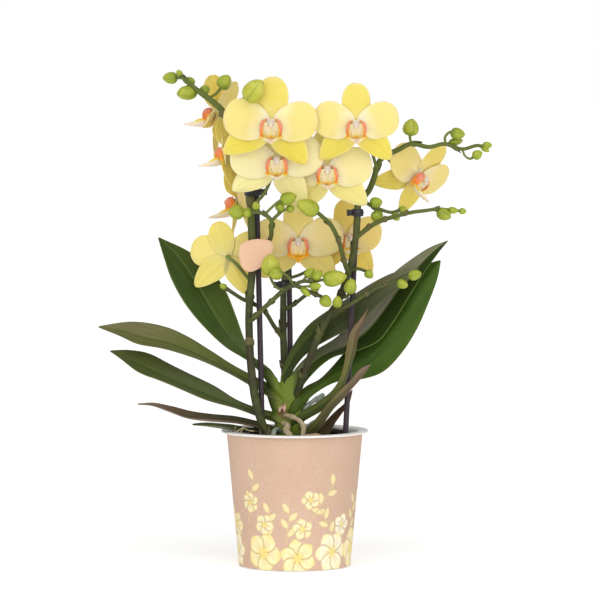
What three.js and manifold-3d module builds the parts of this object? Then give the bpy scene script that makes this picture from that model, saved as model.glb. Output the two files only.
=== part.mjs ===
// A potted moth orchid: a small cup in a card sleeve, bark, a leafy crown with its roots,
// three flower spikes tied to three sticks, eleven yellow blooms, many buds and a blank tag.
// Millimetres, +Z up, the origin at the centre of the cup's base, the front towards -Y.
import * as THREE from "three";
import { mergeVertices } from "three/addons/utils/BufferGeometryUtils.js";
import Module from "manifold-3d";

const wasm = await Module();
wasm.setup();

// Driving dimensions
const gap = 0.3;
const roundSides = 30;
const cup = {
  rimRadius: 52.5,
  rimHeight: 97.2,
  rimThickness: 1.6,
  edge: 0.5,
  mouthRadius: 46.2,
  shoulderHeight: 91,
  ledge: 1.4,
  wall: 1.3,
  baseRadius: 38.5,
  floor: 1.5,
};
const sleeve = { topHeight: 95.3, topRadius: 48.4, bottomHeight: 0.8, bottomRadius: 39.8, card: 0.65 };
const bark = {
  level: 89.5,
  play: 0.1,
  chips: 13,
  chipSize: 9,
  chipShape: [1, 0.65, 0.4],
  chipTilt: 0.7,
  chipLift: 0.6,
  chipReach: 38,
  seed: 7,
};
const stick = { radius: 2, sides: 10, foot: 45 };
const clip = { wall: 1, height: 5, play: 0.8, latch: 3.4 };
const tag = {
  thickness: 0.8,
  y: -22.6,
  jaw: 1,
  jawHeight: 5,
  jawPlay: 0.35,
  jawPlace: [-25.9, -14, 221],
  jawFrom: -2.1,
  jawTo: 1.4,
  neckWidth: 1.6,
  neckShift: 1.2,
  neckSunk: 0.2,
};
const leafBlade = { midThickness: 1.9, edgeThickness: 1, keel: 1.4, along: 9, across: 2, tipStop: 0.985 };
const tepal = { thickness: 0.8, along: 4, across: 2, tipStop: 0.985, twistBy: 0.4 };

// Colour, roughness and metalness of each finish
const finishes = {
  whitePlastic: ["#edebe8", 0.4],
  kraftCard: ["#d9b295", 0.85],
  bark: ["#3a2a22", 0.95],
  leafGreen: ["#35531f", 0.4],
  agedLeaf: ["#6e5b45", 0.6],
  crownGreen: ["#5f7a2f", 0.45],
  stemGreen: ["#4f6b34", 0.5],
  stickDye: ["#3a2a33", 0.55],
  clipPlastic: ["#18181a", 0.4],
  tagCard: ["#f0c2a0", 0.8],
  tepalYellow: ["#f2df78", 0.55],
  lipCoral: ["#ec8f5a", 0.5],
  rootTan: ["#b5a083", 0.8],
  rootSilver: ["#8e9a8e", 0.8],
};

const orchid = new THREE.Group();

// ---- Helpers

function point([x, y, z]) {
  return new THREE.Vector3(x, y, z);
}

function route(points) {
  return new THREE.CatmullRomCurve3(points.map(point));
}

function solid(geometry) {
  const bare = geometry.clone();
  bare.deleteAttribute("normal");
  bare.deleteAttribute("uv");
  const merged = mergeVertices(bare, 1e-3);
  const vertProperties = merged.attributes.position.array;
  const triVerts = new Uint32Array(merged.index.array);
  return new wasm.Manifold(new wasm.Mesh({ numProp: 3, vertProperties, triVerts }));
}

function join(solids) {
  return solids.reduce((whole, next) => whole.add(next));
}

// The biggest of a solid's separate bodies: loose scraps of a cut are dropped
function mainBody(cut) {
  const bodies = cut.decompose();
  return bodies.reduce((best, next) => (next.volume() > best.volume() ? next : best));
}

function geometryOf(body) {
  const { vertProperties, triVerts } = body.getMesh();
  const geometry = new THREE.BufferGeometry();
  geometry.setAttribute("position", new THREE.BufferAttribute(new Float32Array(vertProperties), 3));
  geometry.setIndex(new THREE.BufferAttribute(new Uint32Array(triVerts), 1));
  geometry.computeVertexNormals();
  return geometry;
}

function add(name, body, finish, parent = orchid) {
  const [color, roughness] = finishes[finish];
  const geometry = body.isBufferGeometry ? body : geometryOf(body);
  const mesh = new THREE.Mesh(geometry, new THREE.MeshStandardMaterial({ color, roughness, metalness: 0 }));
  mesh.name = name;
  parent.add(mesh);
  return mesh;
}

// Seeded random numbers from 0 to 1
function randomFrom(seed) {
  let state = seed;
  return () => {
    state = (state * 16807) % 2147483647;
    return state / 2147483647;
  };
}

// Closed skin over rings with an even count of points each. The first half of a ring is one face and
// the second half, backwards, the other: both are split along the same diagonals.
function skin(rings) {
  const count = rings[0].length;
  const half = count / 2;
  const positions = rings.flat().flatMap((p) => [p.x, p.y, p.z]);
  const faces = [];
  for (let ring = 0; ring + 1 < rings.length; ring++) {
    for (let k = 0; k < count; k++) {
      const a = ring * count + k;
      const b = ring * count + ((k + 1) % count);
      const c = b + count;
      const d = a + count;
      if (k < half) faces.push(a, b, c, a, c, d);
      else faces.push(a, b, d, b, c, d);
    }
  }
  const last = (rings.length - 1) * count;
  for (let k = 0; k + 1 < half; k++) {
    const opposite = count - 1 - k;
    faces.push(k, opposite, opposite - 1, k, opposite - 1, k + 1);
    faces.push(last + k, last + opposite - 1, last + opposite, last + k, last + k + 1, last + opposite - 1);
  }
  const geometry = new THREE.BufferGeometry();
  geometry.setAttribute("position", new THREE.BufferAttribute(new Float32Array(positions), 3));
  geometry.setIndex(faces);
  return facingOut(geometry);
}

// Turns the faces round if the enclosed volume is negative
function facingOut(geometry) {
  const { array } = geometry.attributes.position;
  const faces = Array.from(geometry.index.array);
  const corner = (i) => new THREE.Vector3().fromArray(array, 3 * i);
  let volume = 0;
  for (let i = 0; i < faces.length; i += 3) {
    volume += corner(faces[i]).dot(corner(faces[i + 1]).cross(corner(faces[i + 2])));
  }
  if (volume < 0) geometry.setIndex(faces.reverse());
  return geometry;
}

// Round tapering body with a ring square to its way at each point: radii are spread from start to end
function limb(points, radii, sides = 6) {
  const places = points.map(point);
  const whole = places.at(-1).clone().sub(places[0]);
  const upright = Math.abs(whole.z) > 0.7 * whole.length();
  const reference = upright ? new THREE.Vector3(0, 1, 0) : new THREE.Vector3(0, 0, 1);
  const rings = places.map((centre, i) => {
    const t = (i / (places.length - 1)) * (radii.length - 1);
    const from = Math.min(Math.floor(t), radii.length - 2);
    const radius = THREE.MathUtils.lerp(radii[from], radii[from + 1], t - from);
    const way = places[Math.min(i + 1, places.length - 1)].clone().sub(places[Math.max(i - 1, 0)]);
    const across = way.clone().cross(reference).normalize();
    const over = across.clone().cross(way).normalize();
    const angles = Array.from({ length: sides }, (_, k) => (2 * Math.PI * (k + 0.5)) / sides);
    return angles.map((angle) =>
      centre
        .clone()
        .addScaledVector(across, radius * Math.cos(angle))
        .addScaledVector(over, radius * Math.sin(angle)),
    );
  });
  return solid(skin(rings));
}

// Thin blade with the given thickness round a surface at(u, v): u runs along it, v from -1 to 1 across
function sheet(at, thickness, along, across, spread = (t) => t) {
  const step = 1e-3;
  const rings = [];
  for (let i = 0; i <= along; i++) {
    const u = spread(i / along);
    const front = [];
    const back = [];
    for (let j = 0; j <= across; j++) {
      const v = (2 * j) / across - 1;
      const alongWay = at(u + step, v).sub(at(u - step, v));
      const acrossWay = at(u, v + step).sub(at(u, v - step));
      const offset = alongWay.cross(acrossWay).setLength(thickness(u, v) / 2);
      front.push(at(u, v).add(offset));
      back.unshift(at(u, v).sub(offset));
    }
    rings.push([...front, ...back]);
  }
  return solid(skin(rings));
}

// ---- Cup, sleeve and bark

// A body of revolution about the Z axis from its outline in radius and height
function turned(profile) {
  const outline = profile.map(([r, z]) => new THREE.Vector2(r, z));
  return new THREE.LatheGeometry(outline, roundSides).rotateX(Math.PI / 2);
}

function cupBody() {
  const { rimRadius, rimHeight, rimThickness, mouthRadius, shoulderHeight } = cup;
  const { edge, ledge, wall, baseRadius, floor } = cup;
  const shoulderRadius = mouthRadius - ledge + wall;
  const profile = [
    [0, 0],
    [baseRadius, 0],
    [baseRadius + edge, edge],
    [shoulderRadius, shoulderHeight - 1],
    [shoulderRadius + ledge, rimHeight - rimThickness],
    [rimRadius - edge, rimHeight - rimThickness],
    [rimRadius, rimHeight - rimThickness + edge],
    [rimRadius, rimHeight - edge],
    [rimRadius - edge, rimHeight],
    [mouthRadius, rimHeight],
    [mouthRadius, shoulderHeight],
    [mouthRadius - ledge, shoulderHeight],
    [baseRadius - wall, floor],
    [0, floor],
  ];
  return turned(profile);
}

function sleeveBody() {
  const { topHeight, topRadius, bottomHeight, bottomRadius, card } = sleeve;
  const profile = [
    [bottomRadius - card, bottomHeight],
    [bottomRadius, bottomHeight],
    [topRadius, topHeight],
    [topRadius - card, topHeight],
    [bottomRadius - card, bottomHeight],
  ];
  return turned(profile);
}

function barkChip(random) {
  const reach = bark.chipReach * Math.sqrt(random());
  const turn = 2 * Math.PI * random();
  const size = bark.chipSize * (0.7 + 0.5 * random());
  const chip = new THREE.BoxGeometry(...bark.chipShape.map((share) => share * size));
  chip.rotateX(bark.chipTilt * (random() - 0.5));
  chip.rotateY(bark.chipTilt * (random() - 0.5)).rotateZ(turn * 3);
  const place = [reach * Math.cos(turn), reach * Math.sin(turn)];
  chip.translate(place[0], place[1], bark.level + bark.chipLift);
  return { chip: solid(chip), place };
}

// The bark fills the cup to its level, with chips standing out of its top
function barkBody(plants) {
  const { mouthRadius, ledge, shoulderHeight, baseRadius, wall, floor } = cup;
  const slope = (mouthRadius - ledge - baseRadius + wall) / (shoulderHeight - floor);
  const inner = (z) => baseRadius - wall + slope * (z - floor) - gap - bark.play;
  const profile = [
    [0, floor + gap],
    [inner(floor) - bark.play, floor + gap],
    [inner(bark.level), bark.level],
    [0, bark.level],
  ];
  let bed = solid(turned(profile));
  const random = randomFrom(bark.seed);
  for (let i = 0; i < bark.chips; i++) {
    const { chip, place } = barkChip(random);
    if (bark.clear.every(([x, y, r]) => Math.hypot(place[0] - x, place[1] - y) > r)) bed = bed.add(chip);
  }
  return mainBody(plants.reduce((whole, plant) => whole.subtract(plant), bed));
}

// Where the plant and the sticks stand, and how wide a spot the chips leave there: x, y, radius
bark.clear = [
  [-4, -4, 14],
  [14, -7, 12],
  [-22, -12, 12],
  [37, -12, 9],
  [-2, 15, 9],
  [-14, -14, 8],
];

// ---- Sticks: a straight round rod between two points, each foot deep in the bark

const sticks = {
  left: { foot: [-22.2, -14, stick.foot], top: [-26.9, -14, 268.6] },
  middle: { foot: [-2.2, 16, stick.foot], top: [-4.1, 15, 216] },
  right: { foot: [33.3, -12, stick.foot], top: [44.2, -12, 259.5] },
};

function rod({ foot, top }, clearance = 0) {
  const axis = point(top).sub(point(foot));
  const length = axis.length() + 2 * clearance;
  const radius = stick.radius + clearance;
  const body = new THREE.CylinderGeometry(radius, radius, length, stick.sides);
  const upright = new THREE.Vector3(0, 1, 0);
  body.applyQuaternion(new THREE.Quaternion().setFromUnitVectors(upright, axis.normalize()));
  const middle = point(foot).add(point(top)).multiplyScalar(0.5);
  return solid(body.translate(middle.x, middle.y, middle.z));
}

// ---- Crown: the short trunk and the sheaths that the leaves grow out of

const crownLimbs = [
  {
    points: [[-5, 0, 84], [-6, 0, 100], [-4.5, 0, 110], [-7, 0, 120], [-8, 0, 131]],
    radii: [5.5, 5.5, 5.3, 4.6, 3],
  },
  { points: [[-6, 0, 118], [-11, -1.5, 128], [-18, -3, 136.5]], radii: [4.5, 4.2, 3] },
  { points: [[-4, 0, 112], [-9, -1, 119], [-15.5, -1.5, 123.8]], radii: [4.5, 4.2, 3] },
  { points: [[-5, 0, 101], [-8, -2, 103.5], [-12, -3.5, 105.5]], radii: [4.5, 4, 3] },
  { points: [[-5, 0, 93], [-9, -2.5, 95], [-13, -3.8, 96.3]], radii: [4, 3.2, 2.4] },
  { points: [[-7, 0, 122], [-5.5, 0, 132], [-3, 0, 141]], radii: [4.5, 4, 2.8] },
  { points: [[-6, 0, 116], [0, 0.5, 125], [5.5, 2, 134.5]], radii: [4.5, 4, 2.8] },
  { points: [[-4, -1, 107], [1, -2.5, 115.5], [5, -0.5, 120.5]], radii: [4.5, 4.2, 3] },
  { points: [[-5, -1, 97], [1, -4, 102.5], [6, -6.5, 107]], radii: [4.5, 3.6, 2.2] },
  { points: [[-5, -1, 90], [3, -5, 92.5], [9, -8.5, 95.5]], radii: [4, 3.2, 2.2] },
];

function crownBody(clearance = 0) {
  return join(crownLimbs.map(({ points, radii }) => limb(points, radii.map((r) => r + clearance))));
}

// ---- Leaves: each blade hangs between the routes of its two edges, from its sheath to its tip.
// fold is how far the midrib stands off the line between the edges, as a share of the width.

const leaves = {
  leaf_left_upright: {
    fold: 0.1,
    finish: "leafGreen",
    edges: [
      [[-19.5, -3, 142], [-31.5, -4, 151.5], [-36.5, -3, 163], [-41.5, -1, 177], [-49, 1, 195.5],
        [-59.5, 3, 211], [-74.5, 5, 223.5], [-97.5, 6, 234.5]],
      [[-20.5, -3, 134.5], [-33, -2, 146.5], [-49, -2, 156.5], [-65, -1, 171.5], [-78, 0, 187.5],
        [-87.5, 2, 204.5], [-93, 4, 220], [-97.5, 6, 234.5]],
    ],
  },
  leaf_left_upper: {
    fold: 0.12,
    finish: "leafGreen",
    edges: [
      [[-16, 2, 128], [-32, 3, 136.5], [-46, 4, 144], [-59.5, 7, 152.5], [-75, 10, 162.5],
        [-87.5, 11, 168.5], [-102, 10, 172], [-117.5, 7, 173.5], [-140.5, -3, 171]],
      [[-16, -4, 120], [-31.5, -6, 129.5], [-48.5, -10, 139.5], [-63.5, -13, 147], [-80, -15, 152.5],
        [-95.5, -16, 156.5], [-111, -15, 159.5], [-124, -11, 165], [-140.5, -3, 171]],
    ],
  },
  leaf_left_middle: {
    fold: 0.12,
    finish: "leafGreen",
    edges: [
      [[-12, -1, 108.5], [-26, 0, 112.5], [-42, 0, 118.5], [-57.5, 2, 128], [-73, 4, 136],
        [-89, 4, 144], [-104.5, 3, 151.5], [-118.5, 0, 154], [-131.5, -6, 154]],
      [[-10.5, -6, 102], [-26, -8.5, 107.5], [-41.5, -14, 114], [-62, -20, 120.5], [-78, -23, 127],
        [-95, -24, 134], [-110.5, -22, 140], [-122, -17, 148], [-131.5, -6, 154]],
    ],
  },
  leaf_left_narrow: {
    fold: 0.15,
    finish: "agedLeaf",
    edges: [
      [[-13.5, -1, 98.8], [-26, 0, 103], [-42, 1, 106.5], [-59.5, 2, 108], [-75, 2, 110], [-89, 1, 114],
        [-101, -2, 117], [-112, -5, 116]],
      [[-14.5, -6, 96], [-27.5, -8, 100], [-41.5, -9, 103], [-61, -10, 105], [-76.5, -10, 107],
        [-88.5, -9, 111.5], [-100.5, -8, 115], [-112, -5, 116]],
    ],
  },
  leaf_left_low: {
    fold: 0.1,
    finish: "leafGreen",
    edges: [
      [[-13.5, -3, 95], [-27.5, -4.5, 97.8], [-39, -8, 100.3], [-48.5, -12, 102.3], [-60.5, -16, 103.8],
        [-72.5, -22, 102.8]],
      [[-13.5, -7, 93], [-28, -10.5, 97], [-38.5, -18, 99], [-48.5, -25, 101], [-61, -26, 102],
        [-72.5, -22, 102.8]],
    ],
  },
  leaf_right_inner: {
    fold: 0.12,
    finish: "leafGreen",
    edges: [
      [[-8.5, 2, 138], [-5.5, 2, 147], [0, 4, 158], [9.5, 7, 170.5], [24, 9, 181.5], [39.5, 10, 191.5],
        [58, 9, 203], [73, 6, 209.5], [89, 1, 212.5]],
      [[-4, -2, 133.5], [3, -4, 146], [13, -7, 155.5], [26, -8, 163.5], [38.5, -8, 170.5], [52, -8, 179.5],
        [65, -6, 191.5], [76.5, -3, 200], [89, 1, 212.5]],
    ],
  },
  leaf_right_tall: {
    fold: -0.12,
    finish: "leafGreen",
    edges: [
      [[-3.5, 3, 128], [5, 6, 141.5], [15, 9, 152], [31, 13, 163], [44, 14, 177], [56.5, 14, 192],
        [70, 13, 207.5], [84.5, 11, 219], [97, 8, 227], [109.5, 6, 232]],
      [[1, -2, 123.5], [11.5, 0, 137], [26.5, 1, 149], [44.5, 1, 153.5], [59.5, 2, 160.5], [70.5, 3, 174.5],
        [82, 4, 193], [93, 5, 210], [101.5, 6, 222], [109.5, 6, 232]],
    ],
  },
  leaf_right_broad: {
    fold: 0.1,
    finish: "leafGreen",
    edges: [
      [[-1, -2, 119.5], [8, 4, 127.5], [18, 9, 132.5], [27.5, 15, 141.5], [37.5, 19, 153], [47.5, 22, 165],
        [57.5, 23, 177.5], [69, 23, 192], [81, 22, 205], [93.5, 20, 213.5], [104.5, 17, 217.5]],
      [[1.5, -5, 112.5], [7.5, -1, 120], [18, 3, 127], [31.5, 8, 131.5], [46.5, 12, 132.5], [62.5, 14, 137.5],
        [75.5, 15, 150], [87, 16, 167.5], [95.5, 17, 186.5], [102, 17, 204.5], [104.5, 17, 217.5]],
    ],
  },
  leaf_right_narrow: {
    fold: 0.15,
    finish: "leafGreen",
    edges: [
      [[3, -4, 108.5], [16.5, -10, 118], [26, -15, 125.5], [31.5, -20, 134], [35, -22, 144.5],
        [37.5, -23, 158], [40, -22, 168.5], [46, -20, 176.5], [52, -19, 185]],
      [[6, -8, 104], [21, -13, 113], [30.5, -17, 121], [35.5, -18, 130], [39, -18, 142],
        [43, -18.5, 154.5], [45, -18.5, 166], [48.5, -18.5, 176], [52, -19, 185]],
    ],
  },
  leaf_right_low: {
    fold: 0.12,
    finish: "leafGreen",
    edges: [
      [[6, -7, 97], [13, -11, 103.5], [20.5, -15, 113], [27, -18, 121.5], [34, -20, 128.5], [40, -20, 134],
        [46, -20, 141.5], [54, -20, 145.5]],
      [[12.5, -10, 94], [18, -14, 99.5], [27, -18, 113], [34, -20, 120.5], [39, -20, 126.5], [44, -19, 132],
        [48.5, -19, 138], [54, -20, 145.5]],
    ],
  },
  leaf_right_withered: {
    fold: 0.12,
    finish: "agedLeaf",
    edges: [
      [[11.5, -2, 91], [16.5, -1, 97], [23, 0, 104], [30, 0, 110.5], [36, -1, 116.5], [41, -3, 126]],
      [[22.5, -5, 90], [26, -5, 97.5], [30, -5, 104], [34.5, -5, 111], [38.5, -4, 116.5], [41, -3, 126]],
    ],
  },
};

function leafBody({ edges, fold }) {
  const [first, second] = edges.map(route);
  const { midThickness, edgeThickness, keel, along, across, tipStop } = leafBlade;
  const at = (u, v) => {
    const t = THREE.MathUtils.clamp(u * tipStop, 0, 1);
    const start = first.getPoint(t);
    const across = second.getPoint(t).sub(start);
    const way = first.getTangent(t).add(second.getTangent(t));
    const lift = across.clone().cross(way).normalize();
    lift.multiplyScalar(fold * across.length() * (1 - Math.abs(v) ** keel));
    return start.addScaledVector(across, (v + 1) / 2).add(lift);
  };
  const thickness = (u, v) => THREE.MathUtils.lerp(midThickness, edgeThickness, Math.abs(v));
  return sheet(at, thickness, along, across);
}

// ---- Spikes: stems, their side branches, the bloom stalks and the buds, all one green body

const stalkRadius = 1.1;
const thickStem = 2;

// A bud's rings: how far along its long half-axis each is, and its share of the half width
const budRings = { places: [-0.85, 0.1, 1], widths: [0.6, 1, 0.15] };
const budSides = { big: 6, small: 4, bigFrom: 3.5 };

// A bud and its stalk in one: the bud's long half-axis lies along the stalk's last stretch
function budBody({ stalk, size: [long, wide] }) {
  const middle = point(stalk.at(-1));
  const way = middle.clone().sub(point(stalk.at(-2))).normalize();
  const neck = stalk.slice(0, -1);
  const along = budRings.places.map((share) => middle.clone().addScaledVector(way, share * long).toArray());
  const radii = [...neck.map(() => stalkRadius), ...budRings.widths.map((share) => share * wide)];
  return limb([...neck, ...along], radii, wide > budSides.bigFrom ? budSides.big : budSides.small);
}

const spikes = {
  spike_left: {
    stems: [
      {
        points: [[-14.5, -11, 80], [-19, -18, 94], [-22.8, -19.2, 102.7], [-27.3, -19.8, 118.6],
          [-29.8, -19.2, 134], [-31.6, -18.5, 155.3], [-32.3, -18.5, 176.6], [-31.5, -18.5, 194.3],
          [-30, -18.5, 212], [-30.2, -18.5, 233], [-30.8, -18.5, 251], [-31.6, -18.5, 268],
          [-35, -17, 286], [-40.7, -15, 302.3], [-46, -14.5, 315], [-51.4, -15, 324.8],
          [-59.2, -15, 331.9], [-67, -14, 337.5], [-74, -12, 343.2], [-79, -11, 347.5]],
        radii: [2.3, 2.5, 2.2, 2.2, 2.1, 1.9, 1.7, 1.1],
      },
      {
        points: [[-32, -18.5, 175], [-29, -24, 178.4], [-23, -28, 184.3], [-14.5, -30, 192.2],
          [-7.5, -31, 198.6], [-1, -32, 202], [5, -32, 200], [12, -31, 196.5], [18.5, -29, 194]],
        radii: [1.7, 1.5, 1.5, 1.2],
      },
      {
        points: [[-30.2, -18.5, 226], [-24.5, -19.6, 229.5], [-18.5, -20, 232.5], [-16.5, -24, 237],
          [-16.4, -30, 242], [-16.2, -35, 247.3], [-20.8, -36.5, 251.9], [-26.4, -37.5, 253.7],
          [-33, -38, 253]],
        radii: [1.5, 1.5, 1.2],
      },
      { points: [[-16.2, -35, 247.3], [-12, -37, 251.5], [-8, -37.5, 255]], radii: [1.2, 1.1] },
      { points: [[-1, -32, 202], [5, -31.5, 204.5], [11, -31, 204.8], [17, -31, 205.2]], radii: [1.3, 1.1] },
    ],
    bloomStalks: {
      bloom_top_left: [[-43, -15, 307], [-34, -24, 316], [-26.5, -38, 319]],
      bloom_below_top_left: [[-30.8, -19, 257.5], [-25.5, -25, 261.5], [-21, -28, 267], [-16.5, -28, 277]],
      bloom_left_profile_top: [[-49, -15, 320.5], [-46.5, -7, 324], [-46, 6, 324.5]],
      bloom_left_profile_middle: [[-36.5, -16, 290], [-39, -10, 292]],
      bloom_left_profile_low: [[-30.8, -18, 250], [-31, -6, 252.5], [-32, 6, 255], [-33.5, 16, 257]],
      bloom_seen_from_back: [[-31, -19, 204], [-36, -19, 210], [-42, -16, 217]],
    },
    buds: [
      { stalk: [[-79, -8, 347.5], [-88, -6, 347.5]], size: [5.2, 4.2] },
      { stalk: [[-79, -8, 347.5], [-81.5, -9, 351]], size: [2.4, 2.2] },
      { stalk: [[-68, -7, 338], [-76, -11, 337]], size: [7.4, 5.2] },
      { stalk: [[-71, -7, 341], [-74, -7, 345]], size: [3.5, 3.2] },
      { stalk: [[-66, -6, 336.5], [-63.5, -3, 339]], size: [4, 3.5] },
      { stalk: [[-61.5, -7, 333], [-56, -9, 336], [-52.5, -10, 340], [-49.5, -10, 344.5]], size: [5.4, 5.2] },
      {
        stalk: [[-41.5, -12, 304], [-39.5, -20, 320], [-37, -35, 332], [-33.5, -47, 334],
          [-31.3, -54.5, 334.5], [-28, -57.5, 339]],
        size: [9, 7.2],
      },
      { stalk: [[-30, -38, 253.3], [-34, -38, 253.2]], size: [3.6, 3.5] },
      { stalk: [[-34, -38, 253.2], [-41, -38.5, 253.5]], size: [5.2, 5.2] },
      { stalk: [[-26, -37.5, 253.7], [-27, -37.5, 258]], size: [2.9, 2.7] },
      {
        stalk: [[-20.8, -36.5, 252], [-16, -39, 257], [-10.5, -40.5, 261.5], [-4.5, -40.5, 263.5]],
        size: [5.7, 4.5],
      },
      { stalk: [[-12, -37, 251.5], [-10, -37, 257.5]], size: [3.5, 3.3] },
      { stalk: [[-8, -37.5, 255], [-3, -36.5, 256]], size: [2.8, 2.7] },
      { stalk: [[-6.5, -31, 199], [-12, -33.5, 200], [-16.3, -34, 206], [-17, -34, 216]], size: [7.5, 6.5] },
      { stalk: [[-1, -32, 202.5], [-4, -36, 207.5], [-8.5, -40, 211], [-13, -41.5, 210.5]], size: [4.6, 4.5] },
      { stalk: [[5, -31.5, 204.5], [10.5, -30, 210.5]], size: [4.2, 3.3] },
      { stalk: [[11, -31, 204.8], [16, -31.5, 209]], size: [4.2, 3.3] },
      { stalk: [[5, -32, 201], [14.5, -34, 201.5]], size: [4, 2.8] },
      { stalk: [[5, -32, 200], [7.5, -33, 197.5]], size: [4.5, 2.3] },
      { stalk: [[17, -31, 205.2], [28, -31, 207]], size: [8.2, 5.7] },
      { stalk: [[18.5, -29, 194], [22, -29, 190.5]], size: [4.5, 4.2] },
    ],
  },
  spike_middle: {
    stems: [
      {
        points: [[-5, 4, 122], [-6.5, 8, 132], [-7.3, 11, 142], [-8, 12, 160.4], [-8.2, 12, 182],
          [-7.9, 12, 196], [-7, 11, 205], [-3.5, 7, 214.5]],
        radii: [2.3, 2.1, 2, 1.7, 1.4],
      },
      {
        points: [[-8, 12, 161], [-14.8, 5, 171], [-21.9, -4, 182.4], [-29, -8, 187.4], [-37, -10, 191],
          [-44, -11, 195.5], [-48.5, -11, 198.5]],
        radii: [1.5, 1.2],
      },
      { points: [[-6.5, 12, 182.6], [-0.5, 9, 186], [7.4, 4, 192.6], [12.5, 0, 196]], radii: [1.4, 1.1] },
    ],
    bloomStalks: {
      bloom_centre_low: [[-3.5, 7, 214.5], [-1, 3, 221]],
      bloom_behind_right: [[-6.5, 10.5, 204], [6, 15, 208], [20, 21, 218]],
    },
    buds: [
      { stalk: [[10, 2, 194.5], [15, -2, 198.5]], size: [3.2, 2.8] },
      { stalk: [[-46, -11, 197], [-50.5, -11.5, 200]], size: [2.6, 2.2] },
    ],
  },
  spike_right: {
    stems: [
      {
        points: [[-1, 0.5, 118], [3.1, -5, 127.5], [8.1, -9, 141.8], [15.1, -12.5, 160.6],
          [23.6, -15.5, 178.5], [30.7, -17.5, 189.3], [36.3, -18, 204.9], [40.5, -18, 219.1],
          [43.4, -18, 236.7], [44.5, -18, 249], [45, -18, 258], [48, -13, 263], [52.7, -7, 268],
          [56.3, -4, 276.6], [58.4, -4, 284.4], [61.2, -5, 290], [66, -7, 293.7], [73.2, -9, 296.6],
          [82.3, -11, 301], [95, -13, 298.8], [105.6, -14, 300.9], [118.2, -15, 297.4],
          [129.5, -15, 299.9], [135, -15, 298]],
        radii: [2.4, 2.4, 2.2, 2.1, 1.9, 1.7, 1.3, 1],
      },
      {
        points: [[38.5, -18, 210], [36.5, -22, 214], [34.8, -25, 219.4], [31, -29, 232.9], [25.6, -33, 244.3],
          [20, -36, 250], [14.5, -38, 254.5]],
        radii: [1.7, 1.5, 1.3],
      },
      {
        points: [[43.2, -18, 234.6], [47.6, -20, 238.3], [53.9, -22, 243.3], [62.3, -24, 247.6],
          [72, -26, 250.5], [82, -27, 253], [92, -28, 254.4], [101, -28, 255.5], [108, -28, 255]],
        radii: [1.7, 1.4, 1],
      },
      {
        points: [[27, -17, 183], [32, -22, 184.6], [39, -25, 188], [46, -27, 192.7], [58, -29, 199.9],
          [69.3, -30, 204], [79, -31, 207.5]],
        radii: [1.5, 1.2, 1],
      },
      {
        points: [[47.5, -13.5, 262.5], [52, -14, 258.5], [60, -16, 255], [68, -16, 252.8], [74, -15.5, 254]],
        radii: [1.3, 1],
      },
      { points: [[38.8, -18, 211.5], [45, -21.5, 213], [50, -23.5, 211.5]], radii: [1.2, 1] },
      { points: [[32.5, -18, 193], [36.5, -25, 193.5], [38.5, -29.5, 196]], radii: [1.2, 1.1] },
      { points: [[28.5, -17.5, 186], [29.5, -23, 185.5]], radii: [1.2, 1.1] },
    ],
    bloomStalks: {
      bloom_top_right: [[58, -4.5, 284], [54, -14, 297], [48, -26, 309]],
      bloom_below_top_right: [[46.5, -15, 261], [38, -14.5, 268], [29, -17, 277]],
      bloom_far_right: [[66, -6.5, 293.4], [66, 1, 290.5], [70, 9, 286.5], [78, 15, 280.5]],
    },
    buds: [
      { stalk: [[82.3, -11, 301], [81.5, -12, 306], [82.3, -12, 312.5]], size: [5.9, 5.7] },
      {
        stalk: [[106.5, -14, 301], [106.3, -15, 306], [109.5, -15.5, 309.3], [115, -15.5, 308.3]],
        size: [5, 4.1],
      },
      { stalk: [[106, -13.5, 301], [114, -10.5, 302.5]], size: [5.2, 2.8] },
      { stalk: [[130, -15, 299.9], [136, -15, 300]], size: [3.3, 2.6] },
      {
        stalk: [[118.5, -15, 297.5], [120.3, -15.5, 292.5], [124, -16, 290.5], [129, -16, 293.5]],
        size: [3.6, 3.4],
      },
      { stalk: [[98, -28, 255.3], [105, -28.5, 251.8]], size: [5.2, 4.3] },
      { stalk: [[106, -28, 255.2], [111.5, -28, 254.6]], size: [3.6, 2.4] },
      { stalk: [[111.5, -28, 254.6], [118.3, -28, 254]], size: [2.6, 2.2] },
      { stalk: [[71, -30, 204.5], [75.8, -31.5, 202.8]], size: [4, 3.3] },
      { stalk: [[79, -31, 207.5], [84.5, -31, 209.2]], size: [4.6, 3.6] },
      { stalk: [[52, -14, 258.5], [57.5, -14.5, 259.5]], size: [4.3, 4.1] },
      { stalk: [[57, -15.5, 256], [58.5, -16, 249.5]], size: [4.6, 4.4] },
      { stalk: [[68, -16, 252.8], [71.5, -16.3, 249.6]], size: [3.2, 2.8] },
      { stalk: [[72, -15.7, 253.5], [76.5, -15, 254.7]], size: [2.8, 2.7] },
      { stalk: [[50, -23.5, 211.5], [52.5, -24, 209.3]], size: [3.3, 3.1] },
      { stalk: [[38.5, -29.5, 196], [39.5, -30.5, 201]], size: [5.4, 4.4] },
      { stalk: [[29.5, -23, 185.5], [30.2, -27, 190]], size: [4.8, 3.4] },
      { stalk: [[16.5, -37.5, 253.5], [9.5, -39.5, 257]], size: [8.2, 5.8] },
    ],
  },
};

// A bloom's stalk ends square to the back of its hub, just clear of it
function bloomStalkBody([name, points]) {
  const bloom = blooms.find((one) => one.name === name);
  const ends = [behind(bloom, 6), behind(bloom, hubDepth * bloom.size + gap)];
  return limb([...points, ...ends], [stalkRadius, stalkRadius], 4);
}

function spikeBody({ stems, bloomStalks, buds }) {
  return join([
    ...stems.map(({ points, radii }) => limb(points, radii, radii[0] > thickStem ? 6 : 4)),
    ...Object.entries(bloomStalks).map(bloomStalkBody),
    ...buds.map(budBody),
  ]);
}

// The buried foot of the left spike, with its clearance
function spikeFoot() {
  const { points, radii } = spikes.spike_left.stems[0];
  return limb(points.slice(0, 4), [radii[0] + gap, radii[1] + gap]);
}

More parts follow.
